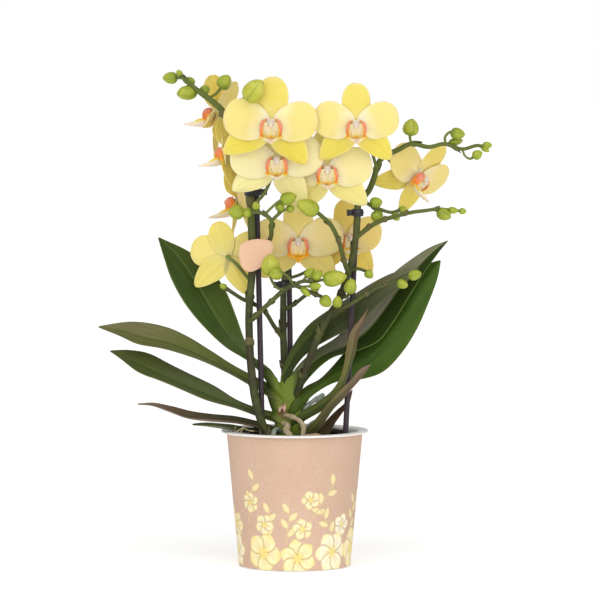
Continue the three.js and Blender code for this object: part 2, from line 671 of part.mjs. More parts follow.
// ---- Blooms: five tepals round a hub, and in front of them the lip and column.
// In its own frame a bloom faces +Z, with its upper sepal towards +Y.

const tepalForms = {
  upperSepal: {
    length: 30, halfWidth: 10, widest: 0.55, point: 2.1, base: 0.4,
    lift: -0.5, curl: -2, cup: -1,
  },
  petal: {
    length: 30.5, halfWidth: 12.9, widest: 0.56, point: 2.2, base: 0.3,
    lift: 0.9, curl: -1.6, cup: -1.2,
  },
  lowerSepal: {
    length: 34.8, halfWidth: 9.6, widest: 0.42, point: 1.6, base: 0.3,
    lift: -0.5, curl: -2.4, cup: -1,
  },
};
const lipThickness = 0.9;
const hubDepth = 2.2;
const hubFront = 1.3;
const hubRadii = [3, 3.6];
const hubReach = 0.9;
const [xAxis, yAxis, zAxis] = [[1, 0, 0], [0, 1, 0], [0, 0, 1]].map(point);
const tepalOrder = ["upperSepal", "petal", "petal", "lowerSepal", "lowerSepal"];
const plainAngles = [90, 10, 170, -44, -136];
const noTurn = [0, 0, 0, 0, 0];

// One tepal: its direction round the hub, how far it leans forwards, and how far it is twisted about itself
function tepalBody(form, ...degrees) {
  const { length, halfWidth, widest, point: pointed, base, lift, curl, cup: cupped } = form;
  const [angle, lean, twist] = degrees.map(THREE.MathUtils.degToRad);
  const skew = Math.log(0.5) / Math.log(widest);
  const at = (u, v) => {
    const t = THREE.MathUtils.clamp(u * tepal.tipStop, 0, 0.9999);
    const oval = (1 - Math.abs(2 * t ** skew - 1) ** pointed) ** (1 / pointed);
    const width = halfWidth * Math.max(oval, base * (1 - t));
    const reach = hubReach + (length - hubReach) * (u * tepal.tipStop);
    const height = lift + curl * t * t + cupped * v * v * t;
    const place = new THREE.Vector3(reach, width * v, height);
    place.applyAxisAngle(xAxis, twist * THREE.MathUtils.smoothstep(t, 0, tepal.twistBy));
    return place.applyAxisAngle(yAxis, -lean).applyAxisAngle(zAxis, angle);
  };
  const spread = (s) => (1 - Math.cos(Math.PI * (0.08 + 0.92 * s))) / 2;
  return sheet(at, () => tepal.thickness, tepal.along, tepal.across, spread);
}

function tepalsBody(angles, leans, twists) {
  const parts = [limb([[0, 0, -hubDepth], [0, 0, hubFront]], hubRadii, 4)];
  tepalOrder.forEach((kind, i) => parts.push(tepalBody(tepalForms[kind], angles[i], leans[i], twists[i])));
  return join(parts);
}

// The two side lobes stand up round the throat like a pair of brackets: each lies between two edges
const lobeBack = [[3, 4.2, 2.8], [7.1, 0.2, 3.2], [6.3, -6, 3.8], [4.4, -7.6, 4.4]];
const lobeFront = [[3.1, 4.3, 5], [5.1, 0.2, 9.4], [4.9, -5.6, 8.8], [4.4, -7.6, 6.4]];

function sideLobe(side) {
  const mirrored = (points) => route(points.map(([x, y, z]) => [side * x, y, z]));
  const [back, front] = [lobeBack, lobeFront].map(mirrored);
  const at = (u, v) => {
    const t = THREE.MathUtils.clamp(u, 0, 1);
    return back.getPoint(t).lerp(front.getPoint(t), (v + 1) / 2);
  };
  return sheet(at, () => lipThickness, 3, 1);
}

// The middle lobe is a pointed boat that reaches forwards from the column's foot
const middleSpine = [[0, -1.5, 3], [0, -7.6, 4.4], [0, -9, 9], [0, -9.2, 15], [0, -7.8, 24]];
const middleWidth = { ends: 1.2, belly: 4.6, rise: 1.4 };

function middleLobe() {
  const spine = route(middleSpine);
  const at = (u, v) => {
    const t = THREE.MathUtils.clamp(u * 0.98, 0, 1);
    const width = middleWidth.ends + middleWidth.belly * Math.sin(Math.PI * t);
    return spine.getPoint(t).add(new THREE.Vector3(width * v, middleWidth.rise * v * v, 0));
  };
  return sheet(at, () => lipThickness, 3, 2);
}

const columnSpine = [[0, 0.3, 2.1], [0, 0.8, 5.5], [0, 0.2, 8.6]];
const columnRadii = [2.2, 2.5, 1.7];

function lipBody() {
  return join([limb(columnSpine, columnRadii), middleLobe(), sideLobe(-1), sideLobe(1)]);
}

// centre, turn to the right, tilt down and roll in degrees, size against a plain bloom, and where they
// aren't the plain ones, the five tepals' directions, how far each leans forwards and is twisted
const blooms = [
  {
    name: "bloom_top_left", centre: [-16.5, -49, 315],
    turn: 0, tilt: 8, roll: 0, size: 1.1, angles: [87, 4, 171, -47, -150],
  },
  {
    name: "bloom_below_top_left", centre: [-12.5, -34, 288],
    turn: 0, tilt: 5, roll: 0, size: 1.08, angles: [88, 12, 173, -57, -149],
  },
  { name: "bloom_top_right", centre: [43, -44, 314.5], turn: 0, tilt: 12, roll: 0, size: 1 },
  {
    name: "bloom_below_top_right", centre: [23, -26.5, 281.5],
    turn: 0, tilt: 6, roll: 0, size: 1.06, angles: [90, 9, 170, -39, -132],
  },
  { name: "bloom_centre_low", centre: [2.5, -2, 230.5], turn: 0, tilt: 12, roll: 0, size: 1.05 },
  { name: "bloom_behind_right", centre: [36.5, 14, 232], turn: 25, tilt: 4, roll: 0, size: 0.95 },
  {
    name: "bloom_seen_from_back", centre: [-47.3, -5, 220.6],
    turn: 180, tilt: 0, roll: -14, size: 0.88, angles: [86, 26, 172, -26, -106],
  },
  {
    name: "bloom_far_right", centre: [87.9, 12, 277],
    turn: 40, tilt: 32, roll: -36, size: 0.98,
    angles: [92, 24, 182, -48, -128], leans: [0, 0, -14, 0, -10], twists: [0, 0, 20, 0, 0],
  },
  {
    name: "bloom_left_profile_top", centre: [-56.2, 22, 321],
    turn: -100, tilt: 0, roll: 0, size: 0.95,
    angles: [92, 0, 125, -72, -98], leans: [10, 0, -26, -24, 8], twists: [-38, -35, 0, 50, 0],
  },
  {
    name: "bloom_left_profile_middle", centre: [-48, -6, 294.4],
    turn: -90, tilt: 8, roll: 0, size: 0.88,
    angles: [95, 10, 205, -60, -125], leans: [0, 6, -30, 0, -20], twists: [-50, 0, 0, 40, 0],
  },
  {
    name: "bloom_left_profile_low", centre: [-41, 26, 258],
    turn: -85, tilt: 10, roll: 0, size: 0.95,
    angles: [90, 25, 170, -40, -130], leans: [0, -12, -20, 22, -10], twists: [-60, 0, 0, 0, 0],
  },
];

// A point behind a bloom's centre, straight back from its face
function behind({ centre, turn, tilt }, distance) {
  const [yaw, dip] = [turn, tilt].map(THREE.MathUtils.degToRad);
  const facing = [Math.sin(yaw) * Math.cos(dip), -Math.cos(yaw) * Math.cos(dip), -Math.sin(dip)];
  return centre.map((value, axis) => value - distance * facing[axis]);
}

function addBloom(bloom) {
  const { name, centre, turn, tilt, roll, size } = bloom;
  const { angles = plainAngles, leans = noTurn, twists = noTurn } = bloom;
  const stand = new THREE.Group();
  stand.position.set(...centre);
  stand.rotation.z = THREE.MathUtils.degToRad(turn);
  const face = new THREE.Group();
  face.rotation.x = Math.PI / 2 + THREE.MathUtils.degToRad(tilt);
  stand.add(face);
  orchid.add(stand);
  const tepals = add(name, tepalsBody(angles, leans, twists), "tepalYellow", face);
  const lip = add(name + "_lip", lipBody(), "lipCoral", face);
  for (const mesh of [tepals, lip]) {
    mesh.rotation.z = THREE.MathUtils.degToRad(roll);
    mesh.scale.setScalar(size);
  }
}

// ---- Clips: a loop round a stick and its spike, with a latch at one end

function loopOutline(from, to, radius) {
  const heading = Math.atan2(to[1] - from[1], to[0] - from[0]);
  const outline = new THREE.Shape();
  outline.absarc(to[0], to[1], radius, heading - Math.PI / 2, heading + Math.PI / 2);
  outline.absarc(from[0], from[1], radius, heading + Math.PI / 2, heading + (3 * Math.PI) / 2);
  outline.closePath();
  return outline;
}

function clipBody({ from, to, height, latchAt }) {
  const bore = stick.radius + clip.play;
  const outline = loopOutline(from, to, bore + clip.wall);
  outline.holes.push(loopOutline(from, to, bore));
  const depth = clip.height;
  const loop = new THREE.ExtrudeGeometry(outline, { depth, bevelEnabled: false, curveSegments: 3 });
  loop.translate(0, 0, height - depth / 2);
  const latch = new THREE.BoxGeometry(clip.latch, clip.latch, clip.height * 0.8);
  latch.translate(latchAt[0], latchAt[1], height);
  return solid(loop).add(solid(latch));
}

const clips = {
  clip_left: { from: [-31.6, -18.5], to: [-26.9, -14], height: 267, latchAt: [-22.4, -11.6] },
  clip_middle: { from: [-8.2, 12], to: [-3.9, 15.1], height: 200, latchAt: [-12.3, 9.8] },
  clip_right: { from: [44.7, -17.8], to: [43.9, -12], height: 252.5, latchAt: [39.6, -17] },
};

// ---- Tag: a blank card plate with a small jaw behind it that grips the left stick

const tagOutline = [
  [-39.2, 225.5], [-37.5, 230.7], [-32, 233.3], [-24.3, 234.2], [-17.4, 233], [-15.2, 229.2],
  [-16.9, 222.8], [-21.3, 216.4], [-27.4, 212], [-32.8, 211], [-36.6, 213.8], [-38.7, 219.2],
];

function tagBody() {
  const curve = new THREE.CatmullRomCurve3(tagOutline.map(([x, z]) => new THREE.Vector3(x, z, 0)), true);
  const outline = new THREE.Shape(curve.getPoints(18).slice(0, -1).map((p) => new THREE.Vector2(p.x, p.y)));
  const plate = new THREE.ExtrudeGeometry(outline, { depth: tag.thickness, bevelEnabled: false });
  plate.rotateX(Math.PI / 2).translate(0, tag.y, 0);
  const [stickX, stickY, height] = tag.jawPlace;
  const inner = stick.radius + tag.jawPlay;
  const jaw = new THREE.Shape();
  jaw.absarc(0, 0, inner + tag.jaw, tag.jawFrom, tag.jawTo);
  jaw.absarc(0, 0, inner, tag.jawTo, tag.jawFrom, true);
  jaw.closePath();
  const depth = tag.jawHeight;
  const ring = new THREE.ExtrudeGeometry(jaw, { depth, bevelEnabled: false, curveSegments: 6 });
  ring.translate(stickX, stickY, height - depth / 2);
  const reach = stickY - inner - tag.y;
  const neck = new THREE.BoxGeometry(tag.neckWidth, reach, depth);
  neck.translate(stickX + tag.neckShift, tag.y + reach / 2 - tag.neckSunk, height);
  return join([solid(plate), solid(ring), solid(neck)]);
}

// ---- Roots that show on top of the bark

const roots = {
  root_arched: {
    points: [[-7, -5, 108], [-1, -11, 107], [4.5, -15, 104], [6.5, -17.5, 100], [6, -19, 95.5], [5, -19, 84]],
    radius: 1.7,
    finish: "rootTan",
  },
  root_thick: {
    points: [[-8, -3, 102], [-5, -11, 100.5], [-6, -14.5, 97.5], [-3, -16.5, 93.5], [-2, -17.5, 84]],
    radius: 2.3,
    finish: "rootTan",
  },
  root_silver_long: {
    points: [[-2, -4, 104], [4, -1, 110], [12, 2.5, 116.5], [20, 5, 121.5]],
    radius: 1.7,
    finish: "rootSilver",
  },
  root_green_tip: {
    points: [[-10, -3, 96], [-13, -11, 98.5], [-15, -20, 95.5], [-15, -22.5, 84]],
    radius: 1.6,
    finish: "rootSilver",
  },
};

function rootBody({ points, radius }, clearance = 0) {
  return limb(points, [radius + clearance, radius + clearance]);
}

// ---- Assembly

const crown = crownBody();
const crownSpace = crownBody(gap);
const rootSpaces = Object.values(roots).map((root) => rootBody(root, gap));
const stickSpaces = Object.values(sticks).map((ends) => rod(ends, gap));

add("cup", cupBody(), "whitePlastic");
add("card_sleeve", sleeveBody(), "kraftCard");
add("bark_bed", barkBody([...stickSpaces, ...rootSpaces, spikeFoot(), crownSpace]), "bark");
add("crown", crown, "crownGreen");
for (const [name, leaf] of Object.entries(leaves)) {
  add(name, mainBody(leafBody(leaf).subtract(crownSpace)), leaf.finish);
}
for (const [name, spike] of Object.entries(spikes)) {
  add(name, mainBody(spikeBody(spike).subtract(crownSpace)), "stemGreen");
}
for (const [name, root] of Object.entries(roots)) {
  add(name, mainBody(rootBody(root).subtract(crownSpace)), root.finish);
}
for (const [name, ends] of Object.entries(sticks)) add("stick_" + name, rod(ends), "stickDye");
for (const [name, loop] of Object.entries(clips)) add(name, clipBody(loop), "clipPlastic");
add("blank_tag", tagBody(), "tagCard");
blooms.forEach(addBloom);

export default orchid;
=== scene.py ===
# Potted moth orchid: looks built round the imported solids.
# Shapes are worked out in millimetres and become metres when a mesh is made.
import math
from functools import partial

import bmesh
import bpy
import numpy as np
from mathutils import Matrix, Vector


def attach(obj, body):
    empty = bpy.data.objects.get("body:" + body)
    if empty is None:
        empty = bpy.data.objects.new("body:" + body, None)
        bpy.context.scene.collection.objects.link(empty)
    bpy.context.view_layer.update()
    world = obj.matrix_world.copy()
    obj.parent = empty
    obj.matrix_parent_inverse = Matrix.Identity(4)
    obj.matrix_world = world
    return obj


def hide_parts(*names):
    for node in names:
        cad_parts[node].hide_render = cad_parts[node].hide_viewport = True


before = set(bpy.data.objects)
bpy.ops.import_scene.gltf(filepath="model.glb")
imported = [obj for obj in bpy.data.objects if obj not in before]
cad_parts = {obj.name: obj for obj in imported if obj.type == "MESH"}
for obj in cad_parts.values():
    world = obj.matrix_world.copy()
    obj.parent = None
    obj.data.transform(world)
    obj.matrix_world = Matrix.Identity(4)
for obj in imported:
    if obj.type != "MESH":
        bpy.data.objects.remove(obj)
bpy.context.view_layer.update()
mm = 0.001

print("frame loaded:", len(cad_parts), "nodes")


# Colours and nodes

def linear(code):  # sRGB hex to linear light
    parts = [int(code[i:i + 2], 16) / 255 for i in (1, 3, 5)]
    return tuple(c / 12.92 if c <= 0.04045 else ((c + 0.055) / 1.055) ** 2.4 for c in parts) + (1.0,)


# unless its settings say otherwise, a Mix node blends colours and a Bump node's relief is 0.4 mm deep
usual = {"Mix": {"data_type": "RGBA"}, "Bump": {"Distance": 0.0004}}
eased = {"interpolation_type": "SMOOTHSTEP"}
clampedSum = {"operation": "ADD", "use_clamp": True}


def addNode(tree, kind, settings=None, links=None):  # one node, its settings, and what feeds it
    node = tree.nodes.new("ShaderNode" + kind)
    for key, value in {**usual.get(kind, {}), **(settings or {})}.items():
        shade = linear(value) if isinstance(value, str) and value.startswith("#") else value
        if key == "stops":
            stops = node.color_ramp.elements
            while len(stops) < len(value):
                stops.new(1.0)
            for stop, (place, colour) in zip(stops, value):
                stop.position = place
                stop.color = linear(colour)
        elif isinstance(key, int) or key in node.inputs:
            node.inputs[key].default_value = shade
        else:
            setattr(node, key, shade)
    feed(node, links or {})
    return node


def feed(node, links):  # joins a node's inputs to other nodes, or to one named output of a node
    outputs = {"ShaderNodeTexCoord": "Object", "ShaderNodeAttribute": "Fac"}
    for key, source in links.items():
        if isinstance(source, bpy.types.Node):
            named = outputs.get(source.bl_idname)
            source = source.outputs[named] if named else next(s for s in source.outputs if s.enabled)
        node.id_data.links.new(source, node.inputs[key])


def startMaterial(name, settings, attributes=()):
    # a Principled surface joined to its output, then the piece's own coordinates and its named attributes
    material = bpy.data.materials.new(name)
    material.use_nodes = True
    material.node_tree.nodes.clear()
    add = partial(addNode, material.node_tree)
    shader = add("BsdfPrincipled", settings)
    add("OutputMaterial", {}, {0: shader})
    place = add("TexCoord")
    given = [add("Attribute", {"attribute_name": key}) for key in attributes]
    return material, add, shader, place, *given


def fromNoise(low, high):  # settings that spread a noise's usual range over low to high
    return {1: 0.3, 2: 0.7, 3: low, 4: high}


# Curves and meshes

def unit(rows):
    size = np.linalg.norm(rows, axis=-1, keepdims=True)
    return rows / np.maximum(size, 1e-9)


def smooth(x, low, high):  # 0 below low, 1 above high, eased between
    t = np.clip((np.asarray(x, float) - low) / (high - low), 0, 1)
    return t * t * (3 - 2 * t)


def curveAt(points, t):  # a centripetal Catmull-Rom curve through the points
    p = np.asarray(points, float)
    place = np.clip(np.atleast_1d(np.asarray(t, float)), 0, 1) * (len(p) - 1)
    i = np.minimum(place.astype(int), len(p) - 2)
    w = (place - i)[..., None]
    ends = np.vstack([2 * p[0] - p[1], p, 2 * p[-1] - p[-2]])
    a, b, c, d = ends[i], ends[i + 1], ends[i + 2], ends[i + 3]
    ab, bc, cd = (np.sqrt(np.linalg.norm(q, axis=-1, keepdims=True)) for q in (b - a, c - b, d - c))
    start = ((b - a) / ab - (c - a) / (ab + bc) + (c - b) / bc) * bc
    end = ((c - b) / bc - (d - b) / (bc + cd) + (d - c) / cd) * bc
    return b + start * w + (3 * (c - b) - 2 * start - end) * w ** 2 + (2 * (b - c) + start + end) * w ** 3


def evenly(points, step):  # places along the curve at an even spacing, with their distance in mm
    fine = np.linspace(0, 1, 24 * (len(points) - 1) + 1)
    line = curveAt(points, fine)
    travelled = np.concatenate([[0], np.cumsum(np.linalg.norm(np.diff(line, axis=0), axis=1))])
    distance = np.linspace(0, travelled[-1], max(int(travelled[-1] / step), 3) + 1)
    return np.interp(distance, travelled, fine), distance


def fullTurn(count):
    return np.linspace(0, 2 * math.pi, count, endpoint=False)


def hoop(middle, turn, side, up, wide, deep):  # a ring of points, with its half widths along side and up
    return middle + np.outer(np.cos(turn) * wide, side) + np.outer(np.sin(turn) * deep, up)


def framesOf(line):  # tangents, and two sideways directions that don't twist
    ahead = unit(np.gradient(line, axis=0))
    pick = np.eye(3)[np.argmin(np.abs(ahead[0]))]
    side = [unit(np.cross(ahead[0], pick))]
    for way in ahead[1:]:
        side.append(unit(side[-1] - way * np.dot(side[-1], way)))
    side = np.array(side)
    return ahead, side, np.cross(ahead, side)


def sweep(points, radii, sides=14, step=1.4, shape=None, ends=(1, 1)):
    # a round rod along the points with domed ends; shape(distance, turn) adds to its radius
    t, distance = evenly(points, step)
    line = curveAt(points, t)
    radius = np.interp(t, np.linspace(0, 1, len(radii)), radii)
    ahead, side, up = framesOf(line)
    dome = np.radians([80, 55, 28])
    order = [(0, -np.sin(a) * ends[0], np.cos(a)) for a in dome]
    order += [(i, 0, 1) for i in range(len(t))]
    order += [(len(t) - 1, np.sin(a) * ends[1], np.cos(a)) for a in dome[::-1]]
    turn = fullTurn(sides)
    verts, along = [], []
    for i, push, narrow in order:
        r = (radius[i] + (shape(np.full(sides, distance[i]), turn) if shape else 0)) * narrow
        verts.append(hoop(line[i] + ahead[i] * radius[i] * push, turn, side[i], up[i], r, r))
        along.append(np.full(sides, distance[i]))
    tips = [line[:1] - ahead[:1] * radius[0] * ends[0], line[-1:] + ahead[-1:] * radius[-1] * ends[1]]
    along = np.concatenate(along + [[0, distance[-1]]])
    turns = np.concatenate([np.tile(turn, len(order)), [0, 0]])
    fields = {"along": along, "turn": turns, "share": along / distance[-1]}
    return np.vstack(verts + tips), ringFaces(len(order), sides, ends=True), fields


def ringFaces(rings, sides, closed=False, ends=False):
    # quads between rings of the same number of points, and fans to two end points listed after them
    faces = []
    for i in range(rings if closed else rings - 1):
        for j in range(sides):
            k = (j + 1) % sides
            n = (i + 1) % rings
            faces.append((i * sides + j, i * sides + k, n * sides + k, n * sides + j))
    for j in range(sides if ends else 0):
        k = (j + 1) % sides
        last = (rings - 1) * sides
        faces += [(rings * sides, k, j), (rings * sides + 1, last + j, last + k)]
    return faces


def blade(surface, thickness, along, across, keel=None):
    # a thin closed sheet with a rounded rim: surface(u, v) gives its middle, v from -1 to 1
    u, v = np.meshgrid(np.linspace(0, 1, along + 1), np.linspace(-1, 1, across + 1), indexing="ij")
    middle = surface(u, v)
    facing = unit(np.cross(np.gradient(middle, axis=0), np.gradient(middle, axis=1)))
    half = thickness(u, v)[..., None] / 2
    groove, ridge = keel(u, v) if keel else (0, 0)
    top = middle + facing * (half - groove)
    bottom = middle - facing * (half + ridge)
    rows, columns = u.shape
    loop = [(i, 0) for i in range(rows)] + [(rows - 1, j) for j in range(1, columns)]
    loop += [(i, columns - 1) for i in range(rows - 2, -1, -1)] + [(0, j) for j in range(columns - 2, 0, -1)]
    inner = [(min(max(i, 1), rows - 2), min(max(j, 1), columns - 2)) for i, j in loop]
    at = tuple(np.array(loop).T)
    outward = unit(middle[at] - middle[tuple(np.array(inner).T)])
    rim = (top[at] + bottom[at]) / 2 + outward * half[at] * 0.9
    verts = np.vstack([top.reshape(-1, 3), bottom.reshape(-1, 3), rim])
    size = rows * columns
    faces = []
    for i in range(rows - 1):
        for j in range(columns - 1):
            a, b = i * columns + j, (i + 1) * columns + j
            faces.append((a, b, b + 1, a + 1))
            faces.append((size + a, size + a + 1, size + b + 1, size + b))
    for k in range(len(loop)):
        n = (k + 1) % len(loop)
        a, b = (loop[q][0] * columns + loop[q][1] for q in (k, n))
        faces.append((a, 2 * size + k, 2 * size + n, b))
        faces.append((2 * size + k, size + a, size + b, 2 * size + n))
    fields = {"along": u, "across": v}
    attributes = {key: np.concatenate([f.ravel(), f.ravel(), f[at]]) for key, f in fields.items()}
    attributes["side"] = np.concatenate([np.ones(size), -np.ones(size), np.zeros(len(loop))])
    return verts, faces, attributes


def lathe(outline, sides):  # a closed outline of (radius, height) turned round the axis
    outline = np.asarray(outline, float)
    turn = fullTurn(sides)
    rings = [np.stack([r * np.cos(turn), r * np.sin(turn), np.full(sides, z)], 1) for r, z in outline]
    return np.vstack(rings), ringFaces(len(outline), sides, closed=True), {}


def joined(parts):  # several parts as one, with every attribute filled in
    verts, faces, fields, start = [], [], {}, 0
    names = sorted({key for part in parts for key in part[2]})
    for points, polygons, attributes in parts:
        verts.append(points)
        faces += [tuple(i + start for i in polygon) for polygon in polygons]
        for key in names:
            fields.setdefault(key, []).append(attributes.get(key, np.zeros(len(points))))
        start += len(points)
    return np.vstack(verts), faces, {key: np.concatenate(rows) for key, rows in fields.items()}


def marked(part, **values):  # the same part with an attribute set all over
    points, polygons, attributes = part
    extra = {key: np.broadcast_to(np.asarray(value, float), (len(points),)) for key, value in values.items()}
    return points, polygons, {**attributes, **extra}


def turned(degrees, axis):
    return Matrix.Rotation(math.radians(degrees), 4, axis)


def moved(part, matrix):
    points, polygons, attributes = part
    m = np.array(matrix)
    return points @ m[:3, :3].T + m[:3, 3], polygons, attributes


def makePiece(name, part, material, replaced, flat=False):
    points, polygons, attributes = part
    mesh = bpy.data.meshes.new(name)
    mesh.from_pydata((np.asarray(points) * mm).tolist(), [], [list(map(int, p)) for p in polygons])
    for key, values in attributes.items():
        mesh.attributes.new(key, "FLOAT", "POINT").data.foreach_set("value", np.asarray(values, np.float32))
    shell = bmesh.new()
    shell.from_mesh(mesh)
    bmesh.ops.recalc_face_normals(shell, faces=shell.faces)
    shell.to_mesh(mesh)
    shell.free()
    mesh.polygons.foreach_set("use_smooth", [not flat] * len(mesh.polygons))
    mesh.materials.append(material)
    piece = bpy.data.objects.new(name, mesh)
    bpy.context.scene.collection.objects.link(piece)
    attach(piece, "root")
    if replaced:
        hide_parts(*replaced)


# Camera, floor and light

studio = dict(
    eye=(0.0038, -3.0, 0.362), dip=3.3, lens=252.66, sensor=36,
    floorRadius=30.0, floorSides=96, paper=[(0, "#FAFAF9"), (1, "#FDFDFC")],
    daylight=0.52, keyStrength=1.75, keyPlace=(-0.4, -2.9, 1.7), keySpread=80,
    fillPower=10, fillPlace=(2.2, -1.9, 1.2), fillSize=1.8, aim=(0, 0, 0.2),
)


def setCamera():
    lens = bpy.data.cameras.new("camera")
    lens.lens = studio["lens"]
    lens.sensor_width = studio["sensor"]
    lens.clip_end = 60
    camera = bpy.data.objects.new("camera", lens)
    camera.location = studio["eye"]
    camera.rotation_euler = (math.radians(90 - studio["dip"]), 0, 0)
    bpy.context.scene.collection.objects.link(camera)
    bpy.context.scene.camera = camera


def setFloor():
    count = studio["floorSides"]
    turn = fullTurn(count)
    rim = np.stack([np.cos(turn), np.sin(turn), np.zeros(count)], 1) * studio["floorRadius"]
    mesh = bpy.data.meshes.new("floor")
    mesh.from_pydata(rim.tolist(), [], [list(range(count))])
    material, add, shader = startMaterial("mattBackgroundPaper", {
        "Roughness": 0.9, "Specular IOR Level": 0.2, "Emission Color": "#FFFFFF", "Emission Strength": 0.32,
    })[:3]
    grain = add("TexNoise", {"Scale": 6, "Detail": 2})
    tint = add("ValToRGB", {"stops": studio["paper"]}, {0: grain})
    feed(shader, {"Base Color": tint})
    mesh.materials.append(material)
    floor = bpy.data.objects.new("floor", mesh)
    bpy.context.scene.collection.objects.link(floor)


def setLight(name, kind, place, size, power):
    lamp = bpy.data.lights.new(name, kind)
    lamp.energy = power
    if kind == "SUN":  # even over the whole floor, and wide enough for soft shadows
        lamp.angle = math.radians(size)
    else:
        lamp.shape = "SQUARE"
        lamp.size = size
    light = bpy.data.objects.new(name, lamp)
    light.location = place
    aim = Vector(studio["aim"]) - Vector(place)
    light.rotation_euler = aim.to_track_quat("-Z", "Y").to_euler()
    bpy.context.scene.collection.objects.link(light)


def setSky():  # even white light, with a plain white sheet behind the plant
    world = bpy.data.worlds.new("studio")
    world.use_nodes = True
    world.node_tree.nodes.clear()
    add = partial(addNode, world.node_tree)
    rays = add("LightPath")
    lit = add("Background", {"Color": "#FFFFFF", "Strength": studio["daylight"]})
    seen = add("Background", {"Color": "#FFFFFF", "Strength": 1})
    both = add("MixShader", {}, {0: rays.outputs["Is Camera Ray"], 1: lit, 2: seen})
    add("OutputWorld", {}, {0: both})
    bpy.context.scene.world = world


setCamera()
setFloor()
setSky()
setLight("keyLight", "SUN", studio["keyPlace"], studio["keySpread"], studio["keyStrength"])
setLight("fillLight", "AREA", studio["fillPlace"], studio["fillSize"], studio["fillPower"])
bpy.context.scene.view_settings.view_transform = "Standard"
print("camera, floor and light set")


# Cup: thin white moulded plastic

cup = dict(
    sides=144, rimRadius=52.5, rimTop=97.2, rimThickness=1.6, mouthRadius=46.2, shoulder=91.0, band=3.0,
    wall=1.3, baseRadius=38.5, footRound=1.2, floor=1.5, floorRound=0.8,
    # where the flange leaves the wall: its drop below the top, its flare, and the roundings round it
    flangeDrop=2.6, flare=0.2, underRound=1.0, ledge=1.4, throatStart=0.6, throatRound=1.8,
    white=[(0.3, "#E2DFDB"), (0.7, "#EDEBE8")],
)


def cupMaterial():
    # injection moulded polypropylene: a soft even gloss, with a faint flow mottle and fine ripple
    material, add, shader, place = startMaterial("mouldedWhitePolypropylene", {
        "Roughness": 0.38, "IOR": 1.49, "Subsurface Weight": 0.08, "Subsurface Scale": 0.002,
    })
    mottle = add("TexNoise", {"Scale": 60, "Detail": 3}, {"Vector": place})
    tint = add("ValToRGB", {"stops": cup["white"]}, {0: mottle})
    rough = add("MapRange", {3: 0.3, 4: 0.46}, {0: mottle})
    ripple = add("Bump", {"Strength": 0.08}, {"Height": mottle})
    feed(shader, {"Base Color": tint, "Roughness": rough, "Normal": ripple})
    return material


def arcOf(centre, radius, start, end, count):  # points on an arc, in degrees
    turn = np.radians(np.linspace(start, end, count))
    return [(centre[0] + radius * math.cos(a), centre[1] + radius * math.sin(a)) for a in turn]


def makeCup():
    base, mouth, shoulder = cup["baseRadius"], cup["mouthRadius"], cup["shoulder"]
    top, wall, floor, foot = cup["rimTop"], cup["wall"], cup["floor"], cup["footRound"]
    under, throat, corner = cup["underRound"], cup["throatRound"], cup["floorRound"]
    half = cup["rimThickness"] / 2
    rise = shoulder - cup["band"] - floor
    side = [(base + (mouth - base) * f, floor + rise * f) for f in (0.25, 0.5, 0.75, 1)]
    outline = [(0, 0), (base - foot, 0)] + arcOf((base - foot, foot), foot, -90, 0, 5) + side
    outline += [(mouth, shoulder), (mouth + cup["flare"], top - cup["flangeDrop"])]
    outline += arcOf((mouth + cup["flare"] + under, top - cup["flangeDrop"]), under, 180, 90, 4)
    outline += arcOf((cup["rimRadius"] - half, top - half), half, -90, 90, 9) + [(mouth + cup["ledge"], top)]
    outline += arcOf((mouth + cup["throatStart"], top - throat), throat, 90, 180, 5)
    outline += [(mouth - wall, shoulder), (mouth - wall, shoulder - cup["band"])]
    outline += [(r - wall, z) for r, z in side[2::-1]]
    outline += [(base - wall, floor + corner), (base - wall - corner, floor), (0, floor)]
    part = lathe([(max(r, 0.02), z) for r, z in outline], cup["sides"])
    makePiece("cup_moulded", part, cupMaterial(), ["cup"])


makeCup()
print("cup made")


# Card sleeve: kraft card with a printed garland of simple blossoms and sprigs

sleeve = dict(
    sides=560, rows=190, topHeight=95.3, topRadius=48.4, bottomHeight=0.8, bottomRadius=39.8,
    card=0.65, seamWidth=11.0, seamLift=0.5, seamCard=0.35, seamInset=0.4, seamColumns=24,
    # the print: the radius it is laid out at, its sprigs, and each row of blossoms' height, count and size
    seed=21, printRadius=44, sprigs=15, blossoms=[(33, 9, 8.5), (12, 10, 14.5), (50, 5, 7.0)],
    kraft=[(0.28, "#C2A28B"), (0.5, "#CBAB95"), (0.72, "#D3B7A3")],
    ink=[(0, "#F3ECD8"), (0.4, "#EFE2B2"), (0.9, "#E6D17C")], line="#AC8857",
)


def blossomInk(x, y, petals, radius, turn):  # overlapping petals: fill, drawn lines, tone and eye
    fill, line, tone = np.zeros_like(x), np.zeros_like(x), np.zeros_like(x)
    for k in range(petals):
        a = turn + k * 2 * math.pi / petals
        u = (x * math.cos(a) + y * math.sin(a)) / radius
        w = (y * math.cos(a) - x * math.sin(a)) / radius
        share = np.clip(u, 0, 1)
        wide = 2.35 / petals * np.sin(np.pi * share ** 1.25) ** 0.62
        inner = (wide - np.abs(w)) * radius
        body = smooth(inner, -0.3, 0.3) * (u > 0.02) * (u < 0.99)
        edge = np.exp(-(inner / 0.5) ** 2) * (u > 0.1) * (u < 1.0)
        vein = 0.5 * sum(np.exp(-((w - bend * share) * radius / 0.3) ** 2) for bend in (-0.22, 0, 0.22))
        drawn = np.maximum(edge, vein * (u > 0.24) * (u < 0.62))
        line = np.where(body > 0.5, drawn, np.maximum(line, edge))
        shades = 0.75 - 0.75 * smooth(share, 0.1, 0.45) + 0.6 * smooth(share, 0.55, 1)
        tone = np.where(body > 0.5, shades, tone)
        fill = np.maximum(fill, body)
    eye = smooth(radius * 0.15 - np.hypot(x, y), -0.3, 0.3)
    return fill, line * fill, tone, eye


